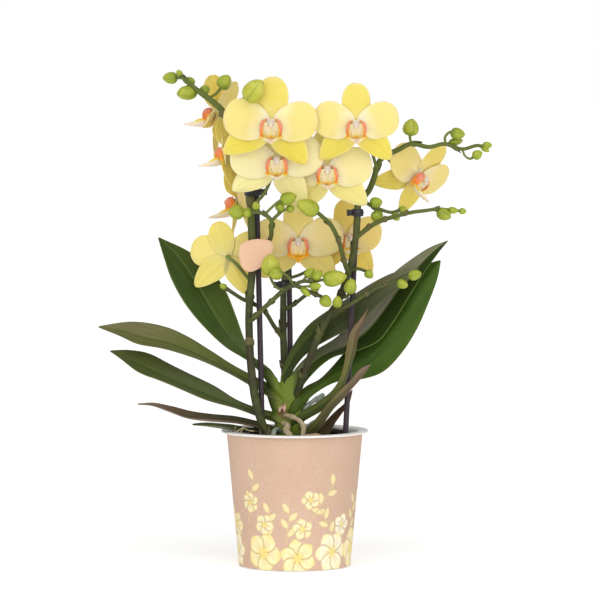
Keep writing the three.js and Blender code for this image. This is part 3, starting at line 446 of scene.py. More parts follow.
def sprigInk(x, y, length, turn):  # a stem with pairs of pointed leaves
    c, s = math.cos(turn), math.sin(turn)
    u, w = x * c + y * s, -x * s + y * c
    stem = np.exp(-(w / 0.4) ** 2) * (u > 0) * (u < length)
    leaf, rim = np.zeros_like(u), np.zeros_like(u)
    for i, along in enumerate(np.linspace(0.25, 0.95, 4)):
        side = 1 if i % 2 else -1
        a, b = u - along * length, (w * side)
        q, p = a * 0.77 + b * 0.64, -a * 0.64 + b * 0.77
        width = 2.3 * np.sin(np.pi * np.clip(q / 9, 0, 1)) ** 0.8
        leaf = np.maximum(leaf, smooth(width - np.abs(p), -0.3, 0.3) * (q > 0) * (q < 9))
        rim = np.maximum(rim, np.exp(-((width - np.abs(p)) / 0.4) ** 2) * (q > 0) * (q < 9))
    return np.maximum(leaf, stem), np.maximum(stem, rim)


def garland():  # where the blossoms and sprigs stand, round the card and up it, in mm
    rng = np.random.default_rng(sleeve["seed"])
    around = 2 * math.pi * sleeve["printRadius"]
    flowers, sprigs = [], []
    for row, (height, count, size) in enumerate(sleeve["blossoms"]):
        for i in range(count):
            x = (i + 0.5 * (row % 2) + rng.uniform(-0.14, 0.14)) * around / count
            flowers.append((x, height + rng.uniform(-2.5, 2.5), int(rng.integers(5, 7)),
                            size * rng.uniform(0.85, 1.12), rng.uniform(0, 6), rng.uniform(0, 1)))
    for i in range(sleeve["sprigs"]):
        x = (i + rng.uniform(-0.2, 0.2)) * around / sleeve["sprigs"]
        tall = i % 3 == 0
        lean = math.radians(90 + rng.uniform(-35, 35))
        sprigs.append((x, 22 + 10 * tall + rng.uniform(-3, 3), 24 + 10 * tall, lean))
    return around, flowers, sprigs


def printInk(x, height):  # fill, colour tone and outline of the print at each place on the card
    around, flowers, sprigs = garland()
    fill, tone, line = np.zeros_like(x), np.zeros_like(x), np.zeros_like(x)

    def near(at, reach):
        dx = (x - at + around / 2) % around - around / 2
        return dx, np.abs(dx) < reach

    for at, up, length, turn in sprigs:
        dx, close = near(at, length + 4)
        leaf, stem = sprigInk(dx[close], height[close] - up, length, turn)
        fill[close] = np.maximum(fill[close], leaf * 0.85)
        tone[close] = np.where(leaf > 0.3, 0.55, tone[close])
        line[close] = np.maximum(line[close], stem * 0.6)
    for at, up, petals, radius, turn, shade in flowers:
        dx, close = near(at, radius + 2)
        body, edges, hue, eye = blossomInk(dx[close], height[close] - up, petals, radius, turn)
        fill[close] = np.maximum(fill[close], body)
        tone[close] = np.where(body > 0.3, np.clip(0.45 * shade + 0.6 * hue + eye * 0.6, 0, 1), tone[close])
        line[close] = np.where(body > 0.3, edges, line[close])
    return fill, tone, line


def cardMaterial():
    # kraft card, calendered and offset printed: matt, with fine level fibres and a flat ink film
    material, add, shader, place, ink, tone, edge = startMaterial(
        "printedKraftCard", {"Roughness": 0.78, "Specular IOR Level": 0.3}, ("ink", "tone", "outline"),
    )
    # real fibres are 0.05 mm wide; they are drawn 1 mm apart so that they show
    level = add("Mapping", {"Scale": (420, 420, 900)}, {"Vector": place})
    fibre = add("TexNoise", {"Scale": 1, "Detail": 4, "Roughness": 0.65}, {"Vector": level})
    cloud = add("TexNoise", {"Scale": 38, "Detail": 2}, {"Vector": place})
    blend = add("Mix", {"data_type": "FLOAT", 0: 0.35}, {2: fibre, 3: cloud})
    base = add("ValToRGB", {"stops": sleeve["kraft"]}, {0: blend})
    colour = add("ValToRGB", {"stops": sleeve["ink"]}, {0: tone})
    printed = add("Mix", {}, {0: ink, 6: base, 7: colour})
    worn = add("Math", {"operation": "MULTIPLY", 1: 0.85}, {0: edge})
    drawn = add("Mix", {7: sleeve["line"]}, {0: worn, 6: printed})
    rough = add("MapRange", {3: 0.84, 4: 0.62}, {0: ink})
    relief = add("Bump", {"Strength": 0.3}, {"Height": fibre})
    feed(shader, {"Base Color": drawn, "Roughness": rough, "Normal": relief})
    return material


def withPrint(part, shown=1):  # the part with the print's ink on it where it is shown
    points = part[0]
    turn = np.arctan2(points[:, 1], points[:, 0]) % (2 * math.pi)
    fill, tone, line = printInk(turn * sleeve["printRadius"], points[:, 2])
    return marked(part, ink=fill * shown, tone=tone, outline=line * shown)


def makeSleeve():
    low, base, card = sleeve["bottomHeight"], sleeve["bottomRadius"], sleeve["card"]
    span = sleeve["topHeight"] - low
    spread = sleeve["topRadius"] - base

    def face(shares, inset):
        return [(base - inset + spread * f, low + span * f) for f in shares]

    outer, inner = face(np.linspace(0.002, 0.998, sleeve["rows"]), 0), face(np.linspace(0.99, 0.01, 5), card)
    edges = [(base - 0.2, low)], [(sleeve["topRadius"] - card / 2, sleeve["topHeight"])]
    body = lathe(edges[0] + outer + edges[1] + inner, sleeve["sides"])
    outside = np.arange(len(body[0])) < sleeve["sides"] * (sleeve["rows"] + 1)
    behind = math.pi / 2
    flap = sleeve["seamWidth"] / sleeve["printRadius"]

    def flapSurface(u, v):
        turnAt = behind + flap * v / 2
        height = low + sleeve["seamInset"] + (span - 2 * sleeve["seamInset"]) * u
        radius = base + spread * u + sleeve["seamLift"] * (0.5 + 0.5 * v) + 0.15
        return np.stack([radius * np.cos(turnAt), radius * np.sin(turnAt), height], -1)

    def flapCard(u, v):
        return np.full_like(u, sleeve["seamCard"])

    seam = blade(flapSurface, flapCard, sleeve["rows"], sleeve["seamColumns"])
    whole = joined([withPrint(body, outside), withPrint(seam)])
    makePiece("sleeve_card", whole, cardMaterial(), ["card_sleeve"])


makeSleeve()
print("sleeve made")


# Growing mix: a filled bed with bark chips

barkBed = dict(
    level=86.5, radius=44.4, floorRadius=36.6, floorHeight=2.2, rings=26, sides=96, seed=7,
    chips=250, chipReach=41.5, mouth=43.8, heap=5.0, long=(7, 17), wide=(4, 9), thick=(2.0, 4.2),
    chipHeights=(86.5, 90.2), edgeReach=36, edgeDrop=0.8,
    chipTones=[0.05, 0.15, 0.28, 0.42, 0.7], toneShares=[0.34, 0.3, 0.2, 0.1, 0.06],
    tones=[(0, "#1A1311"), (0.3, "#33241E"), (0.55, "#523023"), (0.75, "#9C7B60"), (1, "#BA9B7E")],
    # larger chips that show over the rim: middle, length, width, thickness, turn, tilt, tone
    leading=[
        ((15, -32, 92.6), 21, 9, 9.4, 6, 4, 0.86), ((-16, -32, 92.4), 8, 7, 9.2, 30, 8, 0.8),
        ((26, -24, 91.0), 16, 9, 5, -20, 5, 0.2), ((-12, -34, 89.6), 13, 8, 5, 60, 10, 0.25),
        ((4, 24, 90.0), 15, 9, 5, 15, 8, 0.3), ((30, 12, 89.8), 17, 10, 5, 40, 12, 0.12),
        ((20, 30, 89.8), 15, 9, 5, -30, 9, 0.35), ((-24, 24, 89.8), 16, 8, 5, 25, 10, 0.3),
        ((38, -8, 89.8), 13, 8, 5, 80, 8, 0.15), ((-36, 4, 89.6), 14, 9, 5, 70, 8, 0.3),
    ],
)


def barkMaterial():
    # composted pine bark: dull near-black pieces with tan broken faces and a coarse woody relief
    material, add, shader, place, tone = startMaterial(
        "brokenPineBark", {"Roughness": 0.9, "Specular IOR Level": 0.25}, ("tone",),
    )
    grain = add("Mapping", {"Scale": (260, 260, 900)}, {"Vector": place})
    fleck = add("TexNoise", {"Scale": 1, "Detail": 5, "Roughness": 0.7}, {"Vector": grain})
    spread = add("MapRange", fromNoise(-0.14, 0.14), {0: fleck})
    mixed = add("Math", clampedSum, {0: tone, 1: spread})
    colour = add("ValToRGB", {"stops": barkBed["tones"]}, {0: mixed})
    relief = add("Bump", {"Strength": 0.7, "Distance": 0.0012}, {"Height": fleck})
    feed(shader, {"Base Color": colour, "Normal": relief})
    return material


def chipPart(rng, middle, length, width, thick, turn, tilt, tone):
    # a broken slab: jittered layers of an uneven outline, thinner towards its ends
    sides = 9
    angles = np.sort(fullTurn(sides) + rng.uniform(-0.25, 0.25, sides))
    uneven = rng.uniform(0.78, 1.12, sides)
    rings = []
    for level, narrow in ((-0.5, 0.62), (-0.42, 0.9), (0.0, 1.0), (0.4, 0.93), (0.5, 0.7)):
        jitter = uneven * rng.uniform(0.94, 1.06, sides)
        x = np.cos(angles) * length / 2 * jitter * narrow
        y = np.sin(angles) * width / 2 * jitter * narrow
        z = level * thick * (1 - 0.25 * np.abs(np.cos(angles))) + rng.uniform(-0.2, 0.2, sides)
        rings.append(np.stack([x, y, z], 1))
    points = np.vstack(rings + [rings[0].mean(0)[None], rings[-1].mean(0)[None]])
    faces = ringFaces(len(rings), sides, ends=True)
    middle = np.array(middle) + (0, 0, heapAt(middle[1]))
    place = Matrix.Translation(middle) @ turned(turn, "Z") @ turned(tilt, "X") @ turned(tilt * 0.6, "Y")
    points = moved((points, faces, {}), place)[0]
    out = np.array((middle[0], middle[1], 0.0)) / max(math.hypot(middle[0], middle[1]), 1)
    spare = np.hypot(points[:, 0], points[:, 1]).max() - barkBed["mouth"]
    points = points - out * max(spare, 0)  # kept inside the cup
    return marked((points, faces, {}), tone=tone + 0.1 * np.sin(np.arange(len(points))))


def heapAt(y):  # the bark lies higher behind the plant than in front of it
    return barkBed["heap"] * smooth(y, -10, 20)


def bedPart(rng):
    outline = [(0.4, barkBed["floorHeight"]), (barkBed["floorRadius"], barkBed["floorHeight"])]
    for f in np.linspace(1, 0.02, barkBed["rings"]):
        outline.append((barkBed["radius"] * f, barkBed["level"] - 3 * smooth(f, 0.85, 1)))
    points, faces, fields = lathe(outline, barkBed["sides"])
    lumps = rng.uniform(-1.1, 1.1, len(points))
    points[:, 2] += (lumps + heapAt(points[:, 1])) * (points[:, 2] > barkBed["level"] - 4)
    return marked((points, faces, fields), tone=0.12)


def makeBark():
    rng = np.random.default_rng(barkBed["seed"])
    parts = [bedPart(rng)]
    for _ in range(barkBed["chips"]):
        reach = barkBed["chipReach"] * math.sqrt(rng.uniform(0, 1))
        turn = rng.uniform(0, 2 * math.pi)
        tone = rng.choice(barkBed["chipTones"], p=barkBed["toneShares"])
        height = rng.uniform(*barkBed["chipHeights"]) - (reach > barkBed["edgeReach"]) * barkBed["edgeDrop"]
        middle = (reach * math.cos(turn), reach * math.sin(turn), height)
        sizes = [rng.uniform(*barkBed[key]) for key in ("long", "wide", "thick")]
        parts.append(chipPart(rng, middle, *sizes, rng.uniform(0, 360), rng.uniform(-24, 24), tone))
    parts += [chipPart(rng, *leading) for leading in barkBed["leading"]]
    makePiece("bark_chips", joined(parts), barkMaterial(), ["bark_bed"], flat=True)


makeBark()
print("bark made")


# Crown: the short trunk and the sheaths that the leaves grow out of

crown = dict(
    # the trunk: points, half width across the fan of leaves and half depth
    trunk=([(-5, 0, 84), (-5.4, 0, 92), (-5.2, 0, 102), (-5, 0, 112), (-6, 0, 121), (-7, 0, 127)],
           [6.2, 7.0, 7.6, 7.0, 5.6, 3.5], [5.6, 5.6, 5.4, 5.0, 4.0, 2.0]),
    # the dry patch on the trunk's front, and its half sizes
    drySpot=(-8.0, -5.0, 111.0), drySize=(4.0, 6.0, 5.5),
    sides=24, deep=4.6, voxel=0.0007, passes=9,
    # short root tips that push out of the trunk: middle, direction, length, radius
    nubs=[((-10.6, -5.0, 112.6), (-0.15, -1, -1.1), 4.6, 1.15),
          ((-7.2, -5.4, 114.4), (0.0, -0.9, -1.3), 6.2, 1.2),
          ((-8.9, -5.4, 113.6), (0, -1, -0.7), 3.0, 0.85)],
    green=[(0, "#303A14"), (0.4, "#4E5C1E"), (0.85, "#6B7A2A")], dry="#7C5F3C",
    nub=[(0.1, "#7C5F3C"), (0.4, "#C4A48A"), (0.8, "#C4A48A"), (1, "#9A6A52")],
)


def crownMaterial():
    # living leaf sheath: smooth cuticle over firm flesh, so a soft satin sheen, veined lengthways
    material, add, shader, place, heart, dry = startMaterial("leafSheathCuticle", {
        "Roughness": 0.42, "IOR": 1.45, "Specular IOR Level": 0.16, "Subsurface Weight": 0.06,
        "Subsurface Scale": 0.003, "Subsurface Radius": (0.5, 1.0, 0.25),
    }, ("heart", "dry"))
    cloud = add("TexNoise", {"Scale": 55, "Detail": 3}, {"Vector": place})
    streak = add("Mapping", {"Scale": (330, 330, 60)}, {"Vector": place})
    line = add("TexNoise", {"Scale": 1, "Detail": 3}, {"Vector": streak})
    mixed = add("Mix", {"data_type": "FLOAT", 0: 0.35}, {2: cloud, 3: line})
    spread = add("MapRange", fromNoise(-0.16, 0.16), {0: mixed})
    tone = add("Math", clampedSum, {0: heart, 1: spread})
    base = add("ValToRGB", {"stops": crown["green"]}, {0: tone})
    broken = add("MapRange", {1: 0.35, 2: 0.65, 3: -0.25, 4: 0.25}, {0: cloud})
    rough = add("Math", clampedSum, {0: dry, 1: broken})
    share = add("MapRange", {1: 0.3, 2: 0.8}, {0: rough})
    aged = add("Mix", {7: crown["dry"]}, {0: share, 6: base})
    gloss = add("MapRange", {3: 0.36, 4: 0.7}, {0: share})
    relief = add("Bump", {"Strength": 0.12}, {"Height": line})
    feed(shader, {"Base Color": aged, "Roughness": gloss, "Normal": relief})
    return material


def nubMaterial():
    # young aerial root tip: moist, pinkish cream, darker at its growing end
    material, add, shader, place, share = startMaterial("youngRootTip", {
        "Roughness": 0.45, "Subsurface Weight": 0.3, "Subsurface Scale": 0.002,
    }, ("share",))
    cloud = add("TexNoise", {"Scale": 400, "Detail": 2}, {"Vector": place})
    spread = add("MapRange", {3: -0.2, 4: 0.2}, {0: cloud})
    mixed = add("Math", {"operation": "ADD"}, {0: share, 1: spread})
    colour = add("ValToRGB", {"stops": crown["nub"]}, {0: mixed})
    feed(shader, {"Base Color": colour})
    return material


def grownTogether(part, voxel, passes):  # overlapping rods melted into one smooth skin
    mesh = bpy.data.meshes.new("raw")
    mesh.from_pydata((part[0] * mm).tolist(), [], [list(p) for p in part[1]])
    raw = bpy.data.objects.new("raw", mesh)
    bpy.context.scene.collection.objects.link(raw)
    remesh = raw.modifiers.new("skin", "REMESH")
    remesh.mode = "VOXEL"
    remesh.voxel_size = voxel
    soften = raw.modifiers.new("soften", "SMOOTH")
    soften.factor = 0.5
    soften.iterations = passes
    skinned = raw.evaluated_get(bpy.context.evaluated_depsgraph_get())
    done = skinned.to_mesh()
    points = np.zeros(len(done.vertices) * 3)
    done.vertices.foreach_get("co", points)
    faces = [tuple(p.vertices) for p in done.polygons]
    skinned.to_mesh_clear()
    bpy.data.objects.remove(raw)
    bpy.data.meshes.remove(mesh)
    return points.reshape(-1, 3) / mm, faces, {}


def edgesOf(form):  # the two edges of a leaf, each with the tip that they share
    return [np.array(edge + [form["tip"]], float) for edge in form["edges"]]


def sheathPart(form):  # a flattened limb from inside the trunk, widening to clasp the foot of its leaf
    start, wide, reach = form["sheath"]
    shares = np.array([0, reach * 0.5, reach])
    first, second = (curveAt(edge, shares) for edge in edgesOf(form))
    middles = (first + second) / 2
    halves = np.linalg.norm(first - second, axis=1) / 2 * (1.04, 0.98, 0.86)
    start = np.array(start, float)
    bend = start * 0.45 + middles[0] * 0.55 + (0, 0, -1.2)
    route = [start, bend, *middles]
    f = evenly(route, 1.0)[0]
    spine = curveAt(route, f)
    marks = np.linspace(0, 1, len(route))
    widths = np.interp(f, marks, [wide, wide * 0.8 + halves[0] * 0.2, *halves])
    depths = np.interp(f, marks, np.array([1, 0.85, 0.5, 0.25, 0.16]) * crown["deep"])
    way = unit(np.gradient(spine, axis=0))
    level = unit(second[0] - first[0])
    flat = np.array((0.0, 1.0, 0.0))
    rings = []
    turn = fullTurn(crown["sides"])
    for i in range(len(spine)):
        free = np.cross(way[i], flat)
        across = unit(free) * (1 - f[i]) + level * math.copysign(f[i], level @ free)
        across = unit(across - way[i] * (across @ way[i]))
        over = np.cross(way[i], across)
        rings.append(hoop(spine[i], turn, across, over, widths[i], depths[i]))
    points = np.vstack(rings + [spine[:1], spine[-1:]])
    return points, ringFaces(len(spine), len(turn), ends=True), {}


def makeCrown():
    route, wide, deep = crown["trunk"]
    core = sweep(route, [1.0] * len(route), sides=crown["sides"])
    across, height = ([p[i] for p in route] for i in (0, 2))
    points = core[0]
    spine = np.interp(points[:, 2], height, across)
    points[:, 0] = spine + (points[:, 0] - spine) * np.interp(points[:, 2], height, wide)
    points[:, 1] = points[:, 1] * np.interp(points[:, 2], height, deep)
    limbs = [core] + [sheathPart(form) for form in leafForms.values() if "sheath" in form]
    points, faces, fields = grownTogether(joined(limbs), crown["voxel"], crown["passes"])
    spot = np.exp(-(((points - crown["drySpot"]) / crown["drySize"]) ** 2).sum(1))
    foot = smooth(-points[:, 2], -95, -89)
    fields["dry"] = np.clip(0.7 * spot + 0.7 * foot, 0, 1)
    axis = np.abs(points[:, 0] - np.interp(points[:, 2], height, across))
    fields["heart"] = 1 - smooth(axis, 3, 13)
    makePiece("crown_sheaths", (points, faces, fields), crownMaterial(), ["crown"])
    tips = []
    for middle, way, length, radius in crown["nubs"]:
        way = unit(np.array(way, float))
        start = np.array(middle) - way * 2.5
        route = [start, start + way * length * 0.5 + (0, 0, -0.3), start + way * length + (0, 0, -0.9)]
        tips.append(sweep(route, [radius * 0.8, radius, radius * 0.75], sides=12, step=0.5))
    makePiece("crown_root_tips", joined(tips), nubMaterial(), [])


# Leaves: folded blades that grow out of the crown

leaf = dict(
    seed=3, rows=72, columns=20, thick=2.0, rim=0.85, groove=0.45, keel=0.5, veinGap=0.9, footFold=0.22,
    footThick=1.8, tip=0.992, aged=("leaf_left_narrow", "leaf_right_withered"),
)

# each leaf: where its base lies inside the crown and its half width there, how deep it is folded, which face
# of the sheet is its upper one, its roughness, its tip, its sheath (where that leaves the trunk, its half
# width there and how far up the leaf it reaches) and the two edges of its blade up to the tip; then its
# colours from base to tip on each half of the blade (the half by its first edge, then the other), and on the
# midrib, the margin and the far side
# on some leaves a half's grey-green is painted sheen and a half's darkest green is painted shade, as noted at
# each such leaf
leafForms = {
    "leaf_left_upright": dict(
        root=(-13, -2, 130), rootHalf=3.2, fold=0.1, upper=1, gloss=0.36, tip=(-97.5, 6, 234.5),
        sheath=((-6, 0.5, 119), 3.8, 0.04),
        edges=([(-19.5, -3, 142), (-31.5, -4, 151.5), (-36.5, -3, 163), (-41.5, -1, 177), (-49, 1, 195.5),
                (-59.5, 3, 211), (-74.5, 5, 223.5)],
               [(-20.5, -3, 134.5), (-33, -2, 146.5), (-49, -2, 156.5), (-65, -1, 171.5), (-78, 0, 187.5),
                (-87.5, 2, 204.5), (-93, 4, 220)]),
        # painted sheen: the grey-green at the bases of both halves
        first=("#606A48", "#3E4E16", "#3C4A14"), second=("#505C34", "#2F410E", "#334410"),
        rib="#5A6A34", margin="#66763A", under="#6C7050",
    ),
    "leaf_left_upper": dict(
        root=(-10.5, -1.2, 120), rootHalf=3.2, fold=0.12, upper=1, gloss=0.4, tip=(-140.5, -3, 171),
        sheath=((-4.5, 0, 104), 6.6, 0.04),
        edges=([(-16, 2, 128), (-32, 3, 136.5), (-46, 4, 144), (-59.5, 7, 152.5), (-75, 10, 162.5),
                (-87.5, 11, 168.5), (-102, 10, 172), (-117.5, 7, 173.5)],
               [(-16, -4, 120), (-31.5, -6, 129.5), (-48.5, -10, 139.5), (-63.5, -13, 147),
                (-80, -15, 152.5), (-95.5, -16, 156.5), (-111, -15, 159.5), (-124, -11, 165)]),
        # painted sheen: the grey over the middle and tip of the first half; painted shade: the near-black
        # base of the second half
        first=("#434F1E", "#616832", "#73704E"), second=("#26300F", "#525E20", "#686A38"),
        rib="#3C4C1C", margin="#66583A", under="#746A60",
    ),
    "leaf_left_middle": dict(
        root=(-7.5, -2.2, 102.8), rootHalf=3.2, fold=0.12, upper=1, gloss=0.38, tip=(-131.5, -6, 154),
        sheath=((-4, -0.5, 92), 5.6, 0.05),
        edges=([(-12, -1, 108.5), (-26, 0, 112.5), (-42, 0, 118.5), (-57.5, 2, 128), (-73, 4, 136),
                (-89, 4, 144), (-104.5, 3, 151.5), (-118.5, 0, 154)],
               [(-10.5, -6, 102), (-26, -8.5, 107.5), (-41.5, -14, 114), (-62, -20, 120.5), (-78, -23, 127),
                (-95, -24, 134), (-110.5, -22, 140), (-122, -17, 148)]),
        # painted sheen: the grey-green middle of the first half; painted shade: the near-black base of the
        # second half
        first=("#3E481C", "#58623A", "#545C2C"), second=("#242E10", "#425214", "#4E5A1E"),
        rib="#33500E", margin="#625C34", under="#74705C",
    ),
    "leaf_left_narrow": dict(
        root=(-8.5, -2.8, 94.8), rootHalf=2.2, fold=0.15, upper=1, gloss=0.45, tip=(-112, -5, 116),
        sheath=((-5, -0.8, 90), 4.6, 0.06),
        edges=([(-13.5, -1, 98.8), (-26, 0, 103), (-42, 1, 106.5), (-59.5, 2, 108), (-75, 2, 110),
                (-89, 1, 114), (-101, -2, 117)],
               [(-14.5, -6, 96), (-27.5, -8, 100), (-41.5, -9, 103), (-61, -10, 105), (-76.5, -10, 107),
                (-88.5, -9, 111.5), (-100.5, -8, 115)]),
        first=("#3C4420", "#524C30", "#8E7660"), second=("#303A16", "#484226", "#7C6652"),
        rib="#2A3214", margin="#7A624C", under="#665A4A",
    ),
    "leaf_left_low": dict(
        root=(-8.5, -3.6, 93.2), rootHalf=1.8, fold=0.1, upper=1, gloss=0.4, tip=(-72.5, -22, 102.8),
        sheath=((-5, -1, 88), 4.0, 0.08),
        edges=([(-13.5, -3, 95), (-27.5, -4.5, 97.8), (-39, -8, 100.3), (-48.5, -12, 102.3),
                (-60.5, -16, 103.8)],
               [(-13.5, -7, 93), (-28, -10.5, 97), (-38.5, -18, 99), (-48.5, -25, 101), (-61, -26, 102)]),
        first=("#3A4A1C", "#30401A", "#36421C"), second=("#2A3814", "#263214", "#2C3616"),
        rib="#222E12", margin="#66623A", under="#545A40",
    ),
    "leaf_right_inner": dict(
        root=(-6, 1.5, 122), rootHalf=2.6, fold=0.12, upper=-1, gloss=0.38, tip=(89, 1, 212.5),
        sheath=((-6.5, 0.6, 119), 4.4, 0.05),
        edges=([(-8.5, 3.5, 138), (-5.5, 4, 147), (0, 5, 158), (9.5, 7, 170.5), (24, 9, 181.5),
                (39.5, 10, 191.5), (58, 9, 203), (73, 6, 209.5)],
               [(-4, 0.5, 133.5), (3, 0, 146), (13, -4.5, 155.5), (26, -8, 163.5), (38.5, -8, 170.5),
                (52, -8, 179.5), (65, -6, 191.5), (76.5, -3, 200)]),
        first=("#4A5624", "#444E26", "#6A6A50"), second=("#2C3814", "#303A18", "#50543A"),
        rib="#36481A", margin="#5C6036", under="#6C6C5A",
    ),
    "leaf_right_tall": dict(
        root=(-3.5, 0.6, 119), rootHalf=3.4, fold=-0.12, upper=-1, gloss=0.42, tip=(109.5, 6, 232),
        sheath=((-6, -1, 112), 6.0, 0.1),
        edges=([(-5.5, 0.5, 130), (3, 2.5, 143), (14, 7.5, 152.5), (31, 13, 163), (44, 14, 177),
                (56.5, 14, 192), (70, 13, 207.5), (84.5, 11, 219), (97, 8, 227)],
               [(1.5, -3, 122.5), (11.5, -1.5, 136), (26.5, 1, 148.5), (44.5, 1, 153.5), (59.5, 2, 160.5),
                (70.5, 3, 174.5), (82, 4, 193), (93, 5, 210), (101.5, 6, 222)]),
        # painted sheen: the mauve-grey middle and tip of the first half; painted shade: the dark middle and
        # tip of the second half
        first=("#4A5622", "#7E7A6A", "#737456"), second=("#3E4E1C", "#283610", "#2C3C14"),
        rib="#567022", margin="#56682C", under="#425626",
    ),
    "leaf_right_broad": dict(
        root=(-3.5, -0.6, 107), rootHalf=4.0, fold=0.1, upper=-1, gloss=0.34, tip=(104.5, 17, 217.5),
        sheath=((-5, -1, 100), 6.4, 0.09),
        edges=([(-1, -2, 119.5), (8, 4, 127.5), (18, 9, 132.5), (27.5, 15, 141.5), (37.5, 19, 153),
                (47.5, 22, 165), (57.5, 23, 177.5), (69, 23, 192), (81, 22, 205), (93.5, 20, 213.5)],
               [(3, -4, 109.5), (8.5, -1.5, 117.8), (18.5, 3, 125.8), (31.5, 8, 131.5), (46.5, 12, 132.5),
                (62.5, 14, 137.5), (75.5, 15, 150), (87, 16, 167.5), (95.5, 17, 186.5), (102, 17, 204.5)]),
        first=("#4A5622", "#2B4111", "#3B5317"), second=("#4A5A20", "#365012", "#45601F"),
        rib="#2A440E", margin="#5E6230", under="#6E7058",
    ),
    "leaf_right_narrow": dict(
        root=(-0.5, -3.6, 101), rootHalf=2.6, fold=0.15, upper=-1, gloss=0.42, tip=(52, -19, 185),
        sheath=((-4.5, -1.2, 91), 5.2, 0.05),
        edges=([(3, -4, 108.5), (16.5, -10, 118), (26, -15, 125.5), (31.5, -20, 134), (35, -22, 144.5),
                (37.5, -23, 158), (40, -22, 168.5), (46, -20, 176.5)],
               [(6, -8, 104), (21, -13, 113), (30.5, -17, 121), (35.5, -18, 130), (39, -18, 142),
                (43, -18.5, 154.5), (45, -18.5, 166), (48.5, -18.5, 176)]),
        first=("#4E5A26", "#5A5C32", "#74604A"), second=("#3A481A", "#464C24", "#664F3C"),
        rib="#46561E", margin="#827040", under="#64623E",
    ),
    "leaf_right_low": dict(
        root=(3, -5.5, 92.5), rootHalf=2.8, fold=0.12, upper=-1, gloss=0.5, tip=(54, -20, 145.5),
        sheath=((-4.5, -1.6, 86), 4.8, 0.06),
        edges=([(6, -7, 97), (13, -11, 103.5), (20.5, -15, 113), (27, -18, 121.5), (34, -20, 128.5),
                (40, -20, 134), (46, -20, 141.5)],
               [(12.5, -10, 94), (18, -14, 99.5), (27, -18, 113), (34, -20, 120.5), (39, -20, 126.5),
                (44, -19, 132), (48.5, -19, 138)]),
        first=("#4A5224", "#66603E", "#7C665A"), second=("#38421E", "#545034", "#6E584C"),
        rib="#464E22", margin="#82704E", under="#625842",
    ),
    "leaf_right_withered": dict(
        root=(12.5, -3.5, 84), rootHalf=4.0, fold=0.12, upper=-1, gloss=0.6, tip=(41, -3, 126),
        edges=([(11.5, -2, 91), (16.5, -1, 97), (23, 0, 104), (30, 0, 110.5), (36, -1, 116.5)],
               [(22.5, -5, 90), (26, -5, 97.5), (30, -5, 104), (34.5, -5, 111), (38.5, -4, 116.5)]),
        first=("#52502A", "#5A4A32", "#654639"), second=("#424026", "#4C3E2A", "#553832"),
        rib="#605234", margin="#705A40", under="#54483A",
    ),
}


def leafMaterial(name, form):
    # living orchid leaf: thick waxy cuticle, so a broad satin sheen, with fine parallel veins under it
    material, add, shader, place, along, across, width, side = startMaterial("waxyLeafCuticle_" + name, {
        "Roughness": form["gloss"], "IOR": 1.47, "Specular IOR Level": 0.1,
        "Coat Weight": 0.02, "Coat Roughness": 0.3,
    }, ("along", "across", "fromRib", "side"))
    cloud = add("TexNoise", {"Scale": 32, "Detail": 3}, {"Vector": place})
    drift = add("MapRange", fromNoise(-0.12, 0.12), {0: cloud})
    where = add("Math", clampedSum, {0: along, 1: drift})
    # the half colours hold the painted sheen and painted shade that some leaves are given
    halves = []
    for key in ("first", "second"):
        base, middle, tip = form[key]
        stops = [(0.04, base), (0.45, middle), (0.95, tip)]
        halves.append(add("ValToRGB", {"stops": stops}, {0: where}))
    split = add("MapRange", {**eased, 1: -0.14, 2: 0.14}, {0: across})
    face = add("Mix", {}, {0: split, 6: halves[0], 7: halves[1]})
    # veins run along the leaf; real ones are 0.4 mm apart and these are 0.9 mm, so that they show
    waves = add("CombineXYZ", {}, {0: width, 1: along})
    spread = add("Mapping", {"Scale": (1 / leaf["veinGap"], 3, 1)}, {"Vector": waves})
    veins = add("TexNoise", {"Scale": 1, "Detail": 2, "Roughness": 0.6}, {"Vector": spread})
    tone = add("MapRange", fromNoise(0.8, 1.18), {0: veins})
    lit = add("Mix", {"blend_type": "MULTIPLY", 0: 1}, {6: face, 7: tone})
    far = add("Mix", {"blend_type": "MULTIPLY", 0: 1, 6: form["under"]}, {7: tone})
    flip = add("MapRange", {1: -0.6 * form["upper"], 2: -1 * form["upper"]}, {0: side})
    both = add("Mix", {}, {0: flip, 6: lit, 7: far})
    off = add("Math", {"operation": "ABSOLUTE"}, {0: across})
    ribShare = add("MapRange", {**eased, 1: 0.07, 2: 0, 4: 0.75}, {0: off})
    ribbed = add("Mix", {7: form["rib"]}, {0: ribShare, 6: both})
    edgeShare = add("MapRange", {**eased, 1: 0.95, 2: 1, 4: 0.85}, {0: off})
    edged = add("Mix", {7: form["margin"]}, {0: edgeShare, 6: ribbed})
    rough = add("MapRange", fromNoise(form["gloss"] - 0.05, form["gloss"] + 0.1), {0: cloud})
    relief = add("Bump", {"Strength": 0.3}, {"Height": veins})
    feed(shader, {"Base Color": edged, "Roughness": rough, "Normal": relief})
    return material


